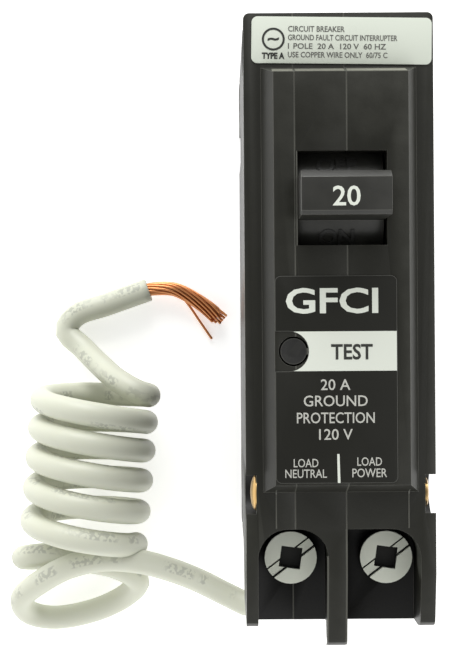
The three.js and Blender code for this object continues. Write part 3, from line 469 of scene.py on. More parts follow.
# The screws darken below 43.65 mm: painted shade around the head in its recess.
SCREW = Finish("screw_plate", (0.72, 0.75, 0.65), 0.42, metallic=0.2, wear=0.3, worn=(0.74, 0.76, 0.68),
               mottle=0.16, painted_shade_below=43.65, brushing=Brushing.ALONG_Y, bump=0.25)
STEEL = Finish("bright_steel", (0.50, 0.50, 0.49), 0.32, metallic=1.0, mottle=0.12, brushing=Brushing.ALONG_Y)
STRAP = Finish("strap_brass", (0.62, 0.46, 0.20), 0.34, metallic=1.0, mottle=0.15, brushing=Brushing.ALONG_Y)
COPPER = Finish("bare_copper", (0.72, 0.31, 0.13), 0.34, metallic=1.0, mottle=0.22, brushing=Brushing.ALONG_X)
SILVER = Finish("contact_silver", (0.66, 0.66, 0.63), 0.3, metallic=1.0, mottle=0.1)
FIBRE = Finish("fibre_sheet", (0.24, 0.14, 0.08), 0.85, mottle=0.3)
BOARD = Finish("board_green", (0.02, 0.10, 0.04), 0.35, mottle=0.25)
EPOXY = Finish("epoxy_black", (0.015, 0.015, 0.015), 0.5)
DISC_BLUE = Finish("disc_blue", (0.03, 0.12, 0.35), 0.45)
SLEEVE = Finish("sleeve_blue", (0.04, 0.05, 0.14), 0.3)
TAPE = Finish("core_tape", (0.20, 0.09, 0.03), 0.5, mottle=0.35)
WINDING = Finish("winding_copper", (0.42, 0.16, 0.05), 0.3, metallic=0.8, brushing=Brushing.ALONG_Y)
NYLON = Finish("lever_nylon", (0.62, 0.59, 0.48), 0.5, mottle=0.06)
RUBBER = Finish("bush_rubber", (0.02, 0.02, 0.02), 0.7)


@dataclass(frozen=True)
class JacketFinish:
    """Soft vinyl wire jacket, with a faint worn legend printed along it."""

    name: str = "jacket_ivory"
    base: Colour = (0.66, 0.68, 0.57)
    shade: Colour = (0.60, 0.61, 0.50)
    print_colour: Colour = (0.24, 0.25, 0.22)
    print_pitch: float = 1500.0
    print_rows: float = 16.0
    print_strength: float = 0.42

    def build(self, groups: Groups) -> bpy.types.Material:
        """Makes the node material, which reads the piece's own UV map for the print.

        Args:
            groups: The shared shader groups.

        Returns:
            The finished material.
        """
        material, sheet, shader = started_material(self.name, {
            "Roughness": 0.42, "Subsurface Weight": 0.12, "Subsurface Radius": (0.004, 0.0035, 0.0025)})
        grain = sheet.group(groups.grain, {"Grain Scale": 1400.0, "Mottle Scale": 60.0})
        body = sheet.mix(grain.outputs["Mottle"], self.shade, self.base)
        mask = sheet.math("MULTIPLY", self._legend(sheet), self.print_strength)
        sheet.feed(shader.inputs["Base Color"], sheet.mix(mask, body, self.print_colour))
        sheet.feed(shader.inputs["Normal"], sheet.bump(grain.outputs["Height"], 0.12))
        return material

    def _legend(self, sheet: ShaderSheet) -> bpy.types.NodeSocket:
        """Returns where the legend is printed: letter-like marks, worn in places, in a band on both sides."""
        uv = sheet.add("ShaderNodeUVMap").outputs["UV"]
        pitch = (self.print_pitch, self.print_rows, 0.0)
        letters = sheet.add("ShaderNodeVectorMath", {0: uv, 1: pitch}, operation="MULTIPLY").outputs["Vector"]
        marks = sheet.add("ShaderNodeTexNoise", {"Vector": letters, "Scale": 1.0, "Detail": 1.0},
                          noise_dimensions="2D").outputs["Fac"]
        worn = sheet.add("ShaderNodeTexNoise", noise_dimensions="1D")
        sheet.feed(worn.inputs["Scale"], 140.0)
        sheet.feed(worn.inputs["W"], sheet.axis(uv, "X"))
        around = sheet.math("PINGPONG", sheet.axis(uv, "Y"), 0.5)
        ink = sheet.math("MULTIPLY", sheet.ramp(marks, 0.46, 0.52), sheet.ramp(worn.outputs["Fac"], 0.47, 0.56))
        band = sheet.math("MULTIPLY", sheet.ramp(around, 0.12, 0.14), sheet.ramp(around, 0.27, 0.25))
        return sheet.math("MULTIPLY", ink, band)


class Palette:
    """Builds each finish once and hands out its material."""

    def __init__(self) -> None:
        """Builds the shared groups."""
        self.groups = Groups()
        self._made: dict[str, bpy.types.Material] = {}

    def of(self, finish: Finish | JacketFinish) -> bpy.types.Material:
        """Returns the material of a finish."""
        if finish.name not in self._made:
            self._made[finish.name] = finish.build(self.groups)
        return self._made[finish.name]


# ------------------------------------------------------------------ geometry node trees


class NodeTool(NodeSheet):
    """A Geometry Nodes tree with named inputs, run on a helper object."""

    def __init__(self, name: str) -> None:
        """Starts a tree with a geometry input and output."""
        super().__init__(bpy.data.node_groups.new(name, "GeometryNodeTree"))
        for side in ("INPUT", "OUTPUT"):
            self.tree.interface.new_socket("Geometry", in_out=side, socket_type="NodeSocketGeometry")
        self.entry = self.nodes.new("NodeGroupInput")
        self.exit = self.nodes.new("NodeGroupOutput")

    def value(self, name: str, default: object, kind: str = "Float") -> bpy.types.NodeSocket:
        """Adds a named input and returns its socket inside the tree."""
        socket = self.tree.interface.new_socket(name, in_out="INPUT", socket_type=f"NodeSocket{kind}")
        if default is not None:
            socket.default_value = default
        return self.entry.outputs[name]

    def wire(self, curve: bpy.types.NodeSocket, radius: object, sides: object) -> bpy.types.NodeSocket:
        """Sweeps a round wire with closed ends along a curve."""
        section = self.add("GeometryNodeCurvePrimitiveCircle", {"Resolution": sides, "Radius": radius})
        inputs = {"Curve": curve, "Profile Curve": section.outputs[0], "Fill Caps": True}
        return self.add("GeometryNodeCurveToMesh", inputs).outputs[0]

    def finish(self, geometry: bpy.types.NodeSocket) -> NodeTool:
        """Ends the tree in Realize Instances and Set Material."""
        real = self.add("GeometryNodeRealizeInstances", {0: geometry})
        paint = self.add("GeometryNodeSetMaterial", {
            "Geometry": real.outputs[0], "Material": self.value("Material", None, "Material")})
        self.feed(self.exit.inputs["Geometry"], paint.outputs[0])
        return self

    def run(self, source: bpy.types.Object, name: str, values: dict[str, object]) -> bpy.types.Mesh:
        """Runs the tree on a helper object, which it then discards.

        Args:
            source: The helper object that carries the modifier.
            name: The result's name.
            values: Input values by input name.

        Returns:
            The result as a plain mesh.
        """
        modifier = source.modifiers.new("build", "NODES")
        modifier.node_group = self.tree
        for item in self.tree.interface.items_tree:
            if item.in_out == "INPUT" and item.name in values:
                modifier[item.identifier] = values[item.name]
        mesh = plain_mesh(source, name)
        discard(source)
        return mesh


def spring_tool() -> NodeTool:
    """A round-wire coil spring that stands along Z."""
    tool = NodeTool("coil_spring")
    radius = tool.value("Coil Radius", 1.0 * MM)
    height = tool.value("Height", 4.0 * MM)
    wire = tool.value("Wire Radius", 0.2 * MM)
    spiral = tool.add("GeometryNodeCurveSpiral", {
        "Resolution": 24, "Start Radius": radius, "End Radius": radius, "Height": height,
        "Rotations": tool.value("Turns", 6.0)})
    return tool.finish(tool.wire(spiral.outputs[0], wire, 10))


def sweep_tool() -> NodeTool:
    """A round wire along every spline of a curve object."""
    tool = NodeTool("wire_sweep")
    wire = tool.value("Wire Radius", 0.15 * MM)
    sides = tool.value("Sides", 8, "Int")
    return tool.finish(tool.wire(tool.entry.outputs["Geometry"], wire, sides))


def dome_tool() -> NodeTool:
    """A flattened dome on every point of a mesh, flat along X."""
    tool = NodeTool("rivet_dome")
    radius = tool.value("Head Radius", 2.4 * MM)
    height = tool.value("Head Height", 0.8 * MM)
    ball = tool.add("GeometryNodeMeshUVSphere", {"Segments": 40, "Rings": 20, "Radius": 1.0})
    scale = tool.add("ShaderNodeCombineXYZ", {"X": height, "Y": radius, "Z": radius})
    place = tool.add("GeometryNodeInstanceOnPoints", {
        "Points": tool.entry.outputs["Geometry"], "Instance": ball.outputs["Mesh"], "Scale": scale.outputs[0]})
    return tool.finish(place.outputs[0])


class Toolbox:
    """The node trees that several sub-assemblies share."""

    def __init__(self) -> None:
        """Builds every tree."""
        self.spring = spring_tool()
        self.sweep = sweep_tool()
        self.dome = dome_tool()


# ------------------------------------------------------------------ shaped copies and lettering


@dataclass
class Workshop:
    """What every sub-assembly needs: the frame, the materials and the node trees."""

    frame: dict
    palette: Palette
    tools: Toolbox

    def softened(self, node: str, width: float, finish: Finish, body: str = ROOT,
                 edge: Finish | None = None,
                 change: Callable[[bmesh.types.BMesh], None] | None = None) -> bpy.types.Object:
        """Makes a copy of a frame node with rounded edges, which stands for it.

        Args:
            node: The frame node.
            width: The rounding's width in millimetres.
            finish: The copy's finish.
            body: The body it rides on.
            edge: The finish of the rounded edges, if they differ: a lighter colour that paints a highlight along
                them.
            change: An optional last change to the merged mesh before rounding.

        Returns:
            The finished piece.
        """
        builder = bmesh.new()
        builder.from_mesh(self.frame["nodes"][node].data)
        bmesh.ops.remove_doubles(builder, verts=builder.verts, dist=WELD_DISTANCE)
        bmesh.ops.dissolve_limit(builder, angle_limit=FLAT_ANGLE, verts=builder.verts, edges=builder.edges)
        if change is not None:
            change(builder)
        mesh = finished_mesh(builder, f"{node}_shaped")
        piece = mesh_object(f"{node}_shaped", mesh, self.palette.of(finish))
        bevel = piece.modifiers.new("rounding", "BEVEL")
        bevel.width = width * MM
        bevel.segments = 2
        bevel.limit_method = "ANGLE"
        bevel.angle_limit = ROUNDED_ANGLE
        bevel.miter_outer = "MITER_ARC"
        # The rounded edges take the edge finish, a painted highlight.
        if edge is not None:
            mesh.materials.append(self.palette.of(edge))
            bevel.material = 1
        finished = plain_mesh(piece, f"{node}_shaped")
        smooth_by_angle(finished, 32)
        old = piece.data
        piece.modifiers.clear()
        piece.data = finished
        bpy.data.meshes.remove(old)
        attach(piece, body)
        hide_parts(node)
        return report(piece)

    def place(self, name: str, mesh: bpy.types.Mesh, finish: Finish, slot: str | None = None,
              body: str = ROOT, stands_for: Sequence[str] = ()) -> bpy.types.Object:
        """Makes a piece that rides on a body.

        Args:
            name: The piece's name.
            mesh: Its mesh, already in place.
            finish: Its finish.
            slot: Not used; callers pass the record's material slot, unless it stands for a frame node.
            body: The body it rides on.
            stands_for: The frame nodes it stands for.

        Returns:
            The finished piece.
        """
        piece = mesh_object(name, mesh, self.palette.of(finish))
        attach(piece, body)
        if stands_for:
            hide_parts(*stands_for)
        return report(piece)

    def paint(self, node: str, finish: Finish) -> None:
        """Gives a frame node its finish, keeping its own mesh."""
        obj = self.frame["nodes"][node]
        material = self.palette.of(finish)
        if not obj.material_slots:
            obj.data.materials.append(material)
        for slot in obj.material_slots:
            slot.material = material


@dataclass(frozen=True)
class Line:
    """One line of lettering: its words, centre, cap height and, if fitted, its width, in millimetres."""

    words: str
    x: float
    y: float
    height: float
    width: float | None = None
    weight: float = 0.0

    def mesh(self, z: float, thickness: float) -> bpy.types.Mesh:
        """Makes the lettering as a thin raised mesh that reads from +Z.

        Args:
            z: Height of its underside in millimetres.
            thickness: Its thickness in millimetres.

        Returns:
            The mesh, in place.
        """
        curve = bpy.data.curves.new("lettering", "FONT")
        curve.body = self.words
        curve.resolution_u = 3
        curve.offset = self.weight
        curve.extrude = 0.5
        curve.align_x = "CENTER"
        helper = link(bpy.data.objects.new("lettering", curve))
        mesh = plain_mesh(helper, "lettering")
        discard(helper)
        xs = [vertex.co.x for vertex in mesh.vertices]
        ys = [vertex.co.y for vertex in mesh.vertices]
        tall = self.height / (max(ys) - min(ys))
        wide = tall if self.width is None else self.width / (max(xs) - min(xs))
        middle = Vector(((max(xs) + min(xs)) / 2, (max(ys) + min(ys)) / 2, -0.5))
        place = Matrix.Translation(mm(self.x, self.y, z)) @ Matrix.Diagonal(
            (wide * MM, tall * MM, thickness * MM, 1.0)) @ Matrix.Translation(-middle)
        mesh.transform(place)
        return mesh


def sheet_mesh(outline: Sequence[tuple[float, float]], z: float, thickness: float, name: str) -> bpy.types.Mesh:
    """Makes a thin flat sheet from an outline in millimetres."""
    builder = bmesh.new()
    base = [builder.verts.new(mm(x, y, z)) for x, y in outline]
    face = builder.faces.new(base)
    top = bmesh.ops.extrude_face_region(builder, geom=[face])
    moved = [item for item in top["geom"] if isinstance(item, bmesh.types.BMVert)]
    bmesh.ops.translate(builder, verts=moved, vec=mm(0, 0, thickness))
    bmesh.ops.recalc_face_normals(builder, faces=builder.faces)
    return finished_mesh(builder, name)


def ring_mesh(x: float, y: float, z: float, outer: float, inner: float, thickness: float) -> bpy.types.Mesh:
    """Makes a thin flat ring in millimetres."""
    sides = 40
    builder = bmesh.new()
    loops = [circle(builder, mm(x, y, height), radius, sides, Vector((1, 0, 0)), Vector((0, 1, 0)))
             for radius, height in ((outer, z), (outer, z + thickness), (inner, z + thickness), (inner, z))]
    for loop, following in zip(loops, loops[1:] + loops[:1]):
        bridge(builder, loop, following)
    bmesh.ops.recalc_face_normals(builder, faces=builder.faces)
    return finished_mesh(builder, "ring")


# ------------------------------------------------------------------ neutral pigtail


def smooth_path(points: Sequence[Point], step: float) -> list[Vector]:
    """Runs a centripetal curve through points and samples it evenly.

    Args:
        points: The points it passes through, in millimetres.
        step: The sampling step in millimetres.

    Returns:
        Points along the curve in millimetres.
    """
    ends = [Vector(p) for p in points]
    padded = [2 * ends[0] - ends[1], *ends, 2 * ends[-1] - ends[-2]]
    dense: list[Vector] = []
    for a, b, c, d in zip(padded, padded[1:], padded[2:], padded[3:]):
        t1 = (b - a).length ** 0.5
        t2 = t1 + (c - b).length ** 0.5
        t3 = t2 + (d - c).length ** 0.5
        for i in range(24):
            t = t1 + (t2 - t1) * i / 24
            ab = a.lerp(b, t / t1)
            bc = b.lerp(c, (t - t1) / (t2 - t1))
            cd = c.lerp(d, (t - t2) / (t3 - t2))
            dense.append(ab.lerp(bc, t / t2).lerp(bc.lerp(cd, (t - t1) / (t3 - t1)), (t - t1) / (t2 - t1)))
    dense.append(ends[-1])
    return resampled(dense, step)


def resampled(points: Sequence[Vector], step: float) -> list[Vector]:
    """Returns points at even steps along a polyline, with both its ends."""
    total = sum((b - a).length for a, b in zip(points, points[1:]))
    count = max(2, round(total / step))
    spacing = total / count
    result = [points[0].copy()]
    walked = 0.0
    for a, b in zip(points, points[1:]):
        length = (b - a).length
        while len(result) < count and walked + length >= spacing * len(result):
            result.append(a.lerp(b, (spacing * len(result) - walked) / length))
        walked += length
    result.append(points[-1].copy())
    return result


def carried_frames(points: Sequence[Vector]) -> list[tuple[Vector, Vector]]:
    """Returns two directions across the path at each point, carried along without twist."""
    tangents = [(points[min(i + 1, len(points) - 1)] - points[max(i - 1, 0)]).normalized()
                for i in range(len(points))]
    side = tangents[0].orthogonal().normalized()
    result = []
    for tangent in tangents:
        side = (side - tangent * side.dot(tangent)).normalized()
        result.append((side, tangent.cross(side)))
    return result


@dataclass
class Pigtail:
    """The white neutral wire: lead, loose loop, coil, tail and stripped end."""

    shop: Workshop
    diameter: float = 3.9
    coil_diameter: float = 17.2
    coil_turns: float = 5.0
    first_pitch: float = 4.3
    pitch_growth: float = 0.112
    coil_lean: float = 1.75
    coil_start: Point = (-36.4, -10.2, 10.65)
    coil_drift: float = 0.09
    jacket_sides: int = 20
    strand_radius: float = 0.22
    strand_rings: tuple[int, ...] = (1, 6, 12)
    lead: tuple[Point, ...] = (
        (-8.4, -30.6, 12.2), (-8.4, -33.4, 12.2), (-7.8, -36.6, 11.8), (-7, -40.2, 10.8),
        (-8.2, -43.7, 9.4), (-11.2, -45.1, 8), (-14.8, -43.8, 7), (-19.5, -41.2, 8), (-24, -38.8, 10.8),
        (-29, -36.8, 13.8), (-34.5, -36, 15.6), (-40, -37.2, 14.8), (-45.2, -40.2, 11.6), (-49.2, -44, 7),
        (-48.6, -47.2, 3.2), (-44.5, -48.3, 2.2), (-37.5, -47, 2.3), (-32.2, -44.2, 4), (-30, -41, 7.4),
        (-33.2, -38.4, 9.9), (-38.6, -37.1, 10.6), (-44.6, -36.5, 9), (-49.2, -37.4, 6),
        (-47.4, -38.1, 2.8), (-41.5, -37.7, 2.2), (-35, -37, 3),
    )
    tail: tuple[Point, ...] = (
        (-29.4, -9.6, 12.2), (-32.6, -7.9, 10.8), (-36, -5.4, 6.8), (-39.4, -2.4, 3.2), (-42.2, 0.4, 2.1),
        (-40.6, 2.9, 2.1), (-35.2, 4.8, 2.1), (-28.3, 7.2, 2.1),
    )
    bare: tuple[Point, ...] = (
        (-28.4, 7.2, 2.1),
        (-27.7, 7.35, 2.1), (-24.1, 7.3, 2), (-21.5, 6.2, 1.8), (-18.4, 4.2, 1.7), (-15.6, 1.9, 1.6),
    )
    stray: tuple[Point, ...] = ((-23, 6.6, 1.6), (-21.4, 4.6, 1.0), (-19.4, 1.6, 0.6), (-17.5, -1.2, 0.5))

    def coil_points(self) -> list[Point]:
        """Returns the coil's centre line from the load end to the line end."""
        per_turn = 16
        steps = round(self.coil_turns * per_turn)
        radius = self.coil_diameter / 2
        x0, y0, z0 = self.coil_start
        points = []
        for i in range(steps + 1):
            angle = math.tau * i / per_turn
            turn = i / per_turn
            advance = turn * (self.first_pitch + self.pitch_growth * turn)
            lean = self.coil_lean * (1 - math.cos(angle)) / 2
            y = y0 - advance + lean
            x = x0 + radius * math.cos(angle) + self.coil_drift * (y - y0)
            points.append((x, y, z0 - radius * math.sin(angle)))
        return points[::-1]

    def build(self) -> None:
        """Makes the jacketed wire and its bare strands."""
        path = smooth_path([*self.lead, *self.coil_points(), *self.tail], 1.1)
        jacket = self.shop.place("pigtail_jacket", self._tube(path), JacketFinish(), "wire_jacket",
                                 stands_for=("pigtail_lead", "pigtail_coil", "pigtail_tail"))
        strands = self.shop.place("pigtail_strands", self._strands(), COPPER, "bare_copper",
                                  stands_for=("pigtail_conductor",))

    def _tube(self, path: Sequence[Vector]) -> bpy.types.Mesh:
        """Makes the jacket: a closed tube whose UV runs in metres along it, and once around it."""
        sides = self.jacket_sides
        builder = bmesh.new()
        uv = builder.loops.layers.uv.new("UVMap")
        frames = carried_frames(path)
        rings = [circle(builder, point * MM, self.diameter / 2, sides, side, across)
                 for point, (side, across) in zip(path, frames)]
        along = 0.0
        for k, (first, second) in enumerate(zip(rings, rings[1:])):
            step = (path[k + 1] - path[k]).length * MM
            for i, face in enumerate(bridge(builder, first, second)):
                face.smooth = True
                corners = ((along, i), (along, i + 1), (along + step, i + 1), (along + step, i))
                for loop, (u, v) in zip(face.loops, corners):
                    loop[uv].uv = (u, v / sides)
            along += step
        for end, forward in ((0, -1), (-1, 1)):
            self._cut_end(builder, rings[end], path[end] * MM, forward, frames[end])
        bmesh.ops.recalc_face_normals(builder, faces=builder.faces)
        return finished_mesh(builder, "pigtail_jacket")

    @staticmethod
    def _cut_end(builder: bmesh.types.BMesh, ring: list[bmesh.types.BMVert], point: Vector,
                 forward: int, frame: tuple[Vector, Vector]) -> None:
        """Closes one end with a slightly rounded cut face."""
        side, across = frame
        out = side.cross(across) * (forward * 0.15 * MM)
        lip = [builder.verts.new(point + (vertex.co - point) * 0.9 + out) for vertex in ring]
        for face in bridge(builder, ring, lip):
            face.smooth = True
        builder.faces.new(lip)

    def _strands(self) -> bpy.types.Mesh:
        """Makes the stripped end: twisted layers of fine strands that fan out, and one stray."""
        path = smooth_path(self.bare, 0.6)
        frames = carried_frames(path)
        curve = bpy.data.curves.new("strands", "CURVE")
        curve.dimensions = "3D"
        last = len(path) - 1
        for layer, count in enumerate(self.strand_rings):
            for number in range(count):
                phase = math.tau * number / count + 0.3 * layer
                cut = last - (number * 7 + layer * 3) % 4
                spline = curve.splines.new("POLY")
                spline.points.add(cut)
                for i in range(cut + 1):
                    share = i / last
                    spread = 1 + share * (0.18 + 0.14 * math.sin(3 * phase))
                    reach = layer * 2 * self.strand_radius * 1.02 * spread
                    angle = phase + 2.2 * share
                    side, across = frames[i]
                    flat = 1 + 0.35 * share
                    offset = side * (reach * flat * math.cos(angle)) + across * (reach * math.sin(angle) / flat)
                    spline.points[i].co = (*((path[i] + offset) * MM), 1)
        stray = smooth_path(self.stray, 0.8)
        spline = curve.splines.new("POLY")
        spline.points.add(len(stray) - 1)
        for item, point in zip(spline.points, stray):
            item.co = (*(point * MM), 1)
        helper = link(bpy.data.objects.new("strands", curve))
        mesh = self.shop.tools.sweep.run(helper, "pigtail_strands", {
            "Wire Radius": self.strand_radius * MM, "Sides": 8, "Material": self.shop.palette.of(COPPER)})
        smooth_by_angle(mesh, 50)
        return mesh


# ------------------------------------------------------------------ case, labels and rivets


@dataclass
class Case:
    """The three mouldings and the rivets through them."""

    shop: Workshop
    edge: float = 0.18
    rivet_places: tuple[tuple[float, float], ...] = (
        (-21.55, 46.0), (38.5, 43.0), (38.5, 5.5), (-22.6, 5.5))
    rivet_seat: float = 11.2
    gap: float = 0.16
    lap: float = 0.07
    flash_sink: float = 0.03
    flash_depth: float = 0.12
    seam_floor: float = 44.0
    pocket_line: float = -26.0
    rib_places: tuple[float, float] = (-8.6, 9.0)
    rib_half_width: float = 0.09
    rib_start: float = -26.1
    rib_step: float = 0.38
    rib_steps: int = 15
    slope_low: tuple[float, float] = (34.72, 49.4)
    slope_high: tuple[float, float] = (33.93, 51.8)
    slope_spans: tuple[tuple[float, float], ...] = ((-8.9, -6.2), (-5.9, 0.55), (0.9, 8.7))
    head_radius: float = 2.43
    head_height: float = 0.78
    shank_profile: tuple[tuple[float, float], ...] = (
        (0.0, -11.1), (1.2, -11.1), (1.2, 11.0), (1.35, 11.15), (2.0, 11.3), (2.05, 11.6),
        (1.7, 11.78), (1.1, 11.7), (0.7, 11.3), (0.6, 10.6), (0.0, 10.6))

    def build(self) -> None:
        """Makes the mouldings and rivets."""
        for node in ("left_cover", "center_housing", "right_cover"):
            self.shop.softened(node, self.edge, CASE, edge=CASE_EDGE_HIGHLIGHT)
        for index, (y, z) in enumerate(self.rivet_places, start=1):
            self._rivet(f"rivet_{index}", y, z)
        self._seams()
        self._shoulder_ribs()
        # The pale strip on the line-side slope is a painted highlight.
        self._slope_highlight()

    def _seams(self) -> None:
        """Lays the pale flash at the top of both parting lines."""
        builder = bmesh.new()
        builder.from_mesh(self.shop.frame["nodes"]["center_housing"].data)
        bmesh.ops.remove_doubles(builder, verts=builder.verts, dist=WELD_DISTANCE)
        strips = bmesh.new()
        for edge in builder.edges:
            sides = [face for face in edge.link_faces if abs(face.normal.x) > 0.99]
            tops = [face for face in edge.link_faces if face.normal.z > 0.15 and abs(face.normal.x) < 0.3]
            high = all(vertex.co.z > self.seam_floor * MM or vertex.co.y < self.pocket_line * MM
                       for vertex in edge.verts)
            if sides and tops and high:
                self._strip(strips, edge, sides[0].normal.x, tops[0].normal)
        builder.free()
        self.shop.place("parting_flash", finished_mesh(strips, "parting_flash"), SEAM, "case_plastic")

    def _slope_highlight(self) -> None:
        """Lays a pale strip along the line-side slope of the raised front: a painted highlight where the key light
        glances off the slope.
        """
        builder = bmesh.new()
        for first, last in self.slope_spans:
            add_hull(builder, [mm(x, y + lift, z + lift * 0.3) for x in (first, last)
                               for y, z in (self.slope_low, self.slope_high) for lift in (-0.05, 0.03)])
        self.shop.place("slope_highlight", finished_mesh(builder, "slope_highlight"), SLOPE_HIGHLIGHT, "case_plastic")

    def _strip(self, builder: bmesh.types.BMesh, edge: bmesh.types.BMEdge, side: float, up: Vector) -> None:
        """Adds one thin bar beside an edge of the middle moulding.

        Args:
            builder: The mesh that takes the bar.
            edge: The moulding's edge.
            side: The sign of the way across the parting gap.
            up: The way out of the moulding's top face.
        """
        reach = [mm(math.copysign(width, side * width), 0, 0) for width in (-self.lap, self.gap + self.lap)]
        add_hull(builder, [vertex.co - up * (sink * MM) + way for vertex in edge.verts
                           for sink in (self.flash_sink, self.flash_sink + self.flash_depth) for way in reach])

    def _shoulder_ribs(self) -> None:
        """Lays the two fine ribs that run from the raised front to the terminal pockets."""
        builder = bmesh.new()
        half = mm(self.rib_half_width, 0, 0)
        for x, node in zip(self.rib_places, ("left_cover", "right_cover")):
            mesh = self.shop.frame["nodes"][node].data
            surface = BVHTree.FromPolygons([vertex.co for vertex in mesh.vertices],
                                           [tuple(face.vertices) for face in mesh.polygons])
            spine = []
            for step in range(self.rib_steps):
                start = mm(x, self.rib_start + self.rib_step * step, 60)
                place = surface.ray_cast(start, Vector((0, 0, -1)))[0]
                if place is not None:
                    spine.append(place)
            for first, last in zip(spine, spine[1:]):
                add_hull(builder, [end + side + mm(0, 0, lift) for end in (first, last)
                                   for side in (-half, half) for lift in (-0.1, 0.05)])
        self.shop.place("shoulder_ribs", finished_mesh(builder, "shoulder_ribs"), SEAM, "case_plastic")

    def _rivet(self, node: str, y: float, z: float) -> None:
        """Makes one rivet: a domed head, a shank and a rolled end."""
        points = bpy.data.meshes.new("rivet_points")
        points.from_pydata([mm(-self.rivet_seat, y, z)], [], [])
        head = self.shop.tools.dome.run(link(bpy.data.objects.new("rivet_points", points)), "head", {
            "Head Radius": self.head_radius * MM, "Head Height": self.head_height * MM,
            "Material": self.shop.palette.of(RIVET)})
        mesh = joined([head, turned(self.shank_profile, y, z, 36)], f"{node}_turned")
        smooth_by_angle(mesh, 40)
        self.shop.place(f"{node}_turned", mesh, RIVET, stands_for=(node,))


def turned(profile: Iterable[tuple[float, float]], y: float, z: float, sides: int) -> bpy.types.Mesh:
    """Turns a profile of (radius, x) points about an axis along X.

    Args:
        profile: Points that start and end on the axis, in millimetres.
        y: The axis's place along Y.
        z: The axis's height.
        sides: Steps around the axis.

    Returns:
        The closed mesh, in place.
    """
    builder = bmesh.new()
    rings = [circle(builder, mm(x, y, z), radius, sides, Vector((0, 1, 0)), Vector((0, 0, 1))) if radius
             else [builder.verts.new(mm(x, y, z))] * sides for radius, x in profile]
    for first, second in zip(rings, rings[1:]):
        bridge(builder, first, second)
    bmesh.ops.recalc_face_normals(builder, faces=builder.faces)
    return finished_mesh(builder, "turned")


@dataclass
class Labels:
    """The cream rating label and the black front label with their printed marks."""

    shop: Workshop
    ink: float = 0.03
    front_top: float = 52.15
    rating_top: float = 48.65
    rating_middle: tuple[float, float] = (0.45, 38.62)
    rating_turn: float = -0.9

    def build(self) -> None:
        """Makes both labels and their print."""
        self.shop.softened("front_label", 0.07, LABEL_BLACK, edge=LABEL_EDGE_HIGHLIGHT)
        self.shop.softened("rating_label", 0.03, LABEL_CREAM)
        self._front_print()
        self._rating_print()

    def _place(self, name: str, meshes: list[bpy.types.Mesh], finish: Finish, slot: str, turn: float = 0.0) -> None:
        """Joins printed marks into one piece on the case, turned with a crooked label."""
        mesh = joined(meshes, name)
        middle = Matrix.Translation(mm(*self.rating_middle, 0))
        mesh.transform(middle @ Matrix.Rotation(math.radians(turn), 4, "Z") @ middle.inverted())
        self.shop.place(name, mesh, finish, slot)

    def _front_print(self) -> None:
        """Makes the white marks and the dark word on the white panel."""
        z = self.front_top
        bold = Line("GFCI", -1.35, 4.05, 3.35, 12.0, weight=0.02)
        words = (
            Line("20 A", -0.95, -6.85, 1.42, weight=0.006),
            Line("GROUND", -0.95, -8.95, 1.42, 8.3, weight=0.006),
            Line("PROTECTION", -0.95, -11.15, 1.42, 10.1, weight=0.006),
            Line("120 V", -0.95, -13.3, 1.42, weight=0.006),
            Line("LOAD", -4.85, -17.0, 1.1, 3.2, weight=0.004),
            Line("NEUTRAL", -4.85, -18.38, 1.1, 5.4, weight=0.004),
            Line("LOAD", 3.4, -16.85, 1.1, 3.2, weight=0.004),
            Line("POWER", 3.4, -18.32, 1.15, 4.5, weight=0.004),
        )
        panel = sheet_mesh(self._panel_outline(), z, self.ink, "panel")
        divider = sheet_mesh([(-0.74, -19.6), (-0.4, -19.6), (-0.5, -15.85), (-0.8, -15.85)], z, self.ink, "divider")
        self._place("front_print_white", [bold.mesh(z, self.ink), panel, divider], WHITE_INK, "rating_paper")
        self._place("front_print_words", [line.mesh(z, self.ink) for line in words], DULL_INK, "rating_paper")
        test = Line("TEST", 1.2, -2.6, 2.05, 5.4, weight=0.02)
        self._place("front_print_test", [test.mesh(z + self.ink, self.ink)], DARK_INK, "front_film")

    @staticmethod
    def _panel_outline() -> list[tuple[float, float]]:
        """Returns the white panel's outline, hollowed round the test button."""
        right, bottom, top = 7.03, -5.07, 0.07
        centre_x, centre_y, radius = -7.0, -2.5, 2.64
        points = [(right, bottom), (right, top)]
        for step in range(13):
            angle = math.radians(77 - 154 * step / 12)
            points.append((centre_x + radius * math.cos(angle), centre_y + radius * math.sin(angle)))
        return points

    def _rating_print(self) -> None:
        """Makes the fine print on the rating label, with a plain ring for its mark."""
        z = self.rating_top
        lines = ("CIRCUIT BREAKER", "GROUND FAULT CIRCUIT INTERRUPTER", "1 POLE  20 A  120 V  60 HZ",
                 "USE COPPER WIRE ONLY  60/75 C")
        widths = (7.5, 14.5, 13.0, 13.2)
        meshes = []
        for index, (words, width) in enumerate(zip(lines, widths)):
            row = Line(words, -6.65 + width / 2, 40.1 - 1.14 * index, 0.76, width, weight=0.012)
            meshes.append(row.mesh(z, self.ink))
        self._place("rating_print_lines", meshes, GREY_INK, "front_film", self.rating_turn)
        mark = [ring_mesh(-8.6, 38.7, z, 1.52, 1.24, self.ink),
                Line("~", -8.6, 38.7, 0.5, 1.5, 0.05).mesh(z, self.ink),
                Line("TYPE A", -8.6, 36.5, 0.85, 3.0, 0.05).mesh(z, self.ink)]
        self._place("rating_print_mark", mark, DARK_INK, "front_film", self.rating_turn)


# ------------------------------------------------------------------ controls and terminals


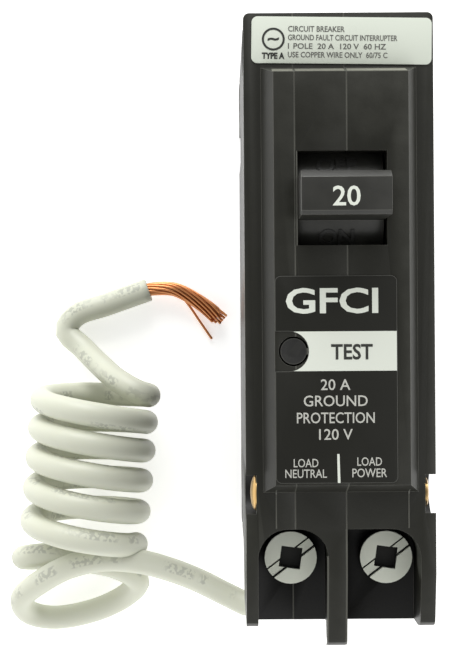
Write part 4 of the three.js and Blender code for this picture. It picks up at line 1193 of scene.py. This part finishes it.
@dataclass
class Handle:
    """The tilting handle, its number and the words on its drum."""

    shop: Workshop
    body: str = "handle_body"
    pivot_y: float = 17.4
    pivot_z: float = 41.0
    drum_radius: float = 10.2
    tip: float = 59.4
    sink: float = 0.05

    def build(self) -> None:
        """Makes the handle and its lettering."""
        self.shop.softened("handle", 0.35, HANDLE, self.body, HANDLE_EDGE_HIGHLIGHT, self._lower_tip)
        number = Line("20", -0.05, self.pivot_y - 0.5, 2.5, 3.45, weight=0.012)
        self.shop.place("handle_number", number.mesh(self.tip - self.sink, self.sink * 0.8), WHITE_INK,
                        "rating_paper", self.body)
        for words, degrees in (("ON", 29.0), ("OFF", -26.0)):
            self.shop.place(f"handle_word_{words.lower()}", self._drum_word(words, degrees), BUTTON,
                            "button_plastic", self.body)

    def _lower_tip(self, builder: bmesh.types.BMesh) -> None:
        """Lowers the top face a hair, so that the number ends flush with the frame's tip."""
        for vertex in builder.verts:
            if vertex.co.z > (self.tip - 0.01) * MM:
                vertex.co.z -= self.sink * MM

    def _drum_word(self, words: str, degrees: float) -> bpy.types.Mesh:
        """Makes a raised word wrapped round the drum at an angle towards the load end."""
        mesh = Line(words, -0.5, 0.0, 2.3, weight=0.03).mesh(0.0, 0.18)
        for vertex in mesh.vertices:
            angle = math.radians(degrees) - vertex.co.y / (self.drum_radius * MM)
            reach = self.drum_radius * MM + vertex.co.z - 0.03 * MM
            vertex.co = Vector((vertex.co.x, self.pivot_y * MM - reach * math.sin(angle),
                                self.pivot_z * MM + reach * math.cos(angle)))
        return mesh


@dataclass
class TestButton:
    """The round button that tests the ground-fault circuit."""

    shop: Workshop
    body: str = "test_button_body"
    rim: float = 0.7
    dish: float = 0.3

    def build(self) -> None:
        """Makes the button with its raised rim."""
        self.shop.softened("test_button", 0.14, BUTTON, self.body, BUTTON_EDGE_HIGHLIGHT, self._sink_middle)

    def _sink_middle(self, builder: bmesh.types.BMesh) -> None:
        """Sinks the middle of the pressed face inside its rim."""
        top = max(builder.faces, key=lambda face: face.calc_center_median().z)
        ring = bmesh.ops.inset_individual(builder, faces=[top], thickness=self.rim * MM, depth=-self.dish * MM)
        # The rim's inset faces take the button's edge finish, a painted highlight.
        for face in ring["faces"]:
            face.material_index = 1


@dataclass
class Terminals:
    """The two terminal screws and what they clamp."""

    shop: Workshop

    def build(self) -> None:
        """Paints the screws and straps, and makes rounded copies of the clamps."""
        for side in ("power", "neutral"):
            self.shop.paint(f"{side}_screw", SCREW)
            self.shop.softened(f"{side}_clamp", 0.12, STEEL, f"{side}_clamp_body")
            self.shop.paint(f"{side}_strap", STRAP)


@dataclass
class Springs:
    """The coil springs, which stand for their plain round bodies."""

    shop: Workshop

    def build(self) -> None:
        """Makes all four springs."""
        test_foot, plunger_stop = (-6.35, -2.5, 40.95), (-5.2, -0.2, 12)
        test = self._spring("test_spring", test_foot, (-6.35, -2.5, 45.15), 1.3, 0.18, 6)
        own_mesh(test)
        plunger = self._spring("plunger_spring", (-5.2, -2.6, 12), plunger_stop, 1.95, 0.16, 3)
        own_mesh(plunger)
        self._spring("toggle_spring", (7.65, 16, 34.5), (7.65, 3.6, 40), 0.78, 0.15, 16)
        self._spring("armature_spring", (6, -12.1, 18.8), (6, -8.7, 18.8), 0.72, 0.13, 6)

    def _spring(self, node: str, start: Point, end: Point, radius: float, wire: float,
                turns: float) -> bpy.types.Object:
        """Makes one spring between two points."""
        along = mm(*end) - mm(*start)
        inset = wire * MM
        helper = link(bpy.data.objects.new(node, bpy.data.meshes.new(node)))
        mesh = self.shop.tools.spring.run(helper, f"{node}_coil", {
            "Coil Radius": radius * MM, "Height": along.length - 2 * inset, "Wire Radius": wire * MM,
            "Turns": float(turns), "Material": self.shop.palette.of(STEEL)})
        turn = along.to_track_quat("Z", "Y").to_matrix().to_4x4()
        mesh.transform(Matrix.Translation(mm(*start) + along.normalized() * inset) @ turn)
        smooth_by_angle(mesh, 60)
        return self.shop.place(f"{node}_coil", mesh, STEEL, stands_for=(node,))


@dataclass
class Internals:
    """The working parts inside, which keep their frame meshes."""

    shop: Workshop
    finishes: dict[str, Finish] = field(default_factory=lambda: {
        "handle_pin": STEEL, "test_contact": STRAP, "line_jaw": COPPER, "stationary_contact": SILVER,
        "contact_arm": COPPER, "moving_contact": SILVER, "arm_pin": STEEL, "cradle": STEEL, "cradle_pin": STEEL,
        "bimetal": STRAP, "magnet_yoke": STEEL, "armature": STEEL, "shunt_braid": COPPER,
        "calibration_screw": RIVET, "arc_chute_frame": FIBRE, "circuit_board": BOARD, "sensing_toroid": TAPE,
        "grounding_toroid": TAPE, "line_conductor": COPPER, "neutral_conductor": COPPER, "ic_chip": EPOXY,
        "thyristor": EPOXY, "varistor": DISC_BLUE, "capacitor_1": SLEEVE, "capacitor_2": SLEEVE,
        "solenoid_coil": WINDING, "solenoid_frame": STEEL, "plunger": STEEL, "trip_lever": NYLON,
        "pigtail_bushing": RUBBER,
    })

    def build(self) -> None:
        """Paints every inner node."""
        for node, finish in self.finishes.items():
            self.shop.paint(node, finish)
        for number in range(1, 5):
            self.shop.paint(f"arc_plate_{number}", STEEL)


# ------------------------------------------------------------------ studio


@dataclass
class Studio:
    """Camera, lights and floor."""

    camera_x: float = -15.25
    camera_y: float = 0.4
    camera_height: float = 213.5
    lens: float = 99.5
    roll: float = -0.38
    floor_reach: float = 2.5

    def camera(self) -> None:
        """Makes the camera, which looks straight down at the breaker's front."""
        data = bpy.data.cameras.new("camera")
        data.sensor_fit = "HORIZONTAL"
        data.sensor_width = 36.0
        data.lens = self.lens
        data.clip_start = 0.01
        obj = link(bpy.data.objects.new("camera", data))
        obj.location = mm(self.camera_x, self.camera_y, self.camera_height)
        obj.rotation_euler = (0.0, 0.0, math.radians(self.roll))
        bpy.context.scene.camera = obj

    def lights(self) -> None:
        """Makes a pale surround, a broad key light and a soft fill."""
        scene = bpy.context.scene
        scene.view_settings.view_transform = "Standard"
        world = bpy.data.worlds.new("surround")
        world.use_nodes = True
        sheet = ShaderSheet(world.node_tree)
        background = sheet.nodes["Background"].inputs
        height = sheet.axis(sheet.place("Generated"), "Z")
        sheet.feed(background["Strength"], sheet.ramp(height, 0.60, 0.97, start=1.25, end=0.22))
        sheet.feed(background["Color"], (1.0, 1.0, 0.99, 1.0))
        scene.world = world
        self._softbox("key", (-0.1, 0.9, 0.42), 0.5, 6.0)
        self._softbox("fill", (0.7, -0.3, 0.6), 0.6, 1.2)

    @staticmethod
    def _softbox(name: str, place: Point, size: float, power: float) -> None:
        """Makes one square area light aimed at the breaker."""
        data = bpy.data.lights.new(name, "AREA")
        data.size = size
        data.energy = power
        obj = link(bpy.data.objects.new(name, data))
        obj.location = place
        aim = Vector((-0.01, 0.0, 0.03)) - Vector(place)
        obj.rotation_euler = aim.to_track_quat("-Z", "Y").to_euler()

    def floor(self, palette: Palette) -> None:
        """Makes the plain pale floor."""
        mesh = bpy.data.meshes.new("floor")
        reach = self.floor_reach
        mesh.from_pydata([(-reach, -reach, 0), (reach, -reach, 0), (reach, reach, 0), (-reach, reach, 0)],
                         [], [(0, 1, 2, 3)])
        finish = Finish("floor_white", (0.95, 0.95, 0.94), 0.9, mottle=0.01, bump=0.02, specular=0.2,
                        glow=0.5)
        mesh_object("floor", mesh, palette.of(finish))


# ------------------------------------------------------------------ main


def main() -> None:
    """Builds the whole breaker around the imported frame."""
    logging.basicConfig(level=logging.INFO, format="%(name)s: %(message)s")
    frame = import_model()
    studio = Studio()
    studio.camera()
    palette = Palette()
    shop = Workshop(frame, palette, Toolbox())
    Pigtail(shop).build()
    studio.lights()
    studio.floor(palette)
    for assembly in (Case, Labels, Handle, TestButton, Terminals, Springs, Internals):
        assembly(shop).build()


if __name__ == "__main__":
    main()
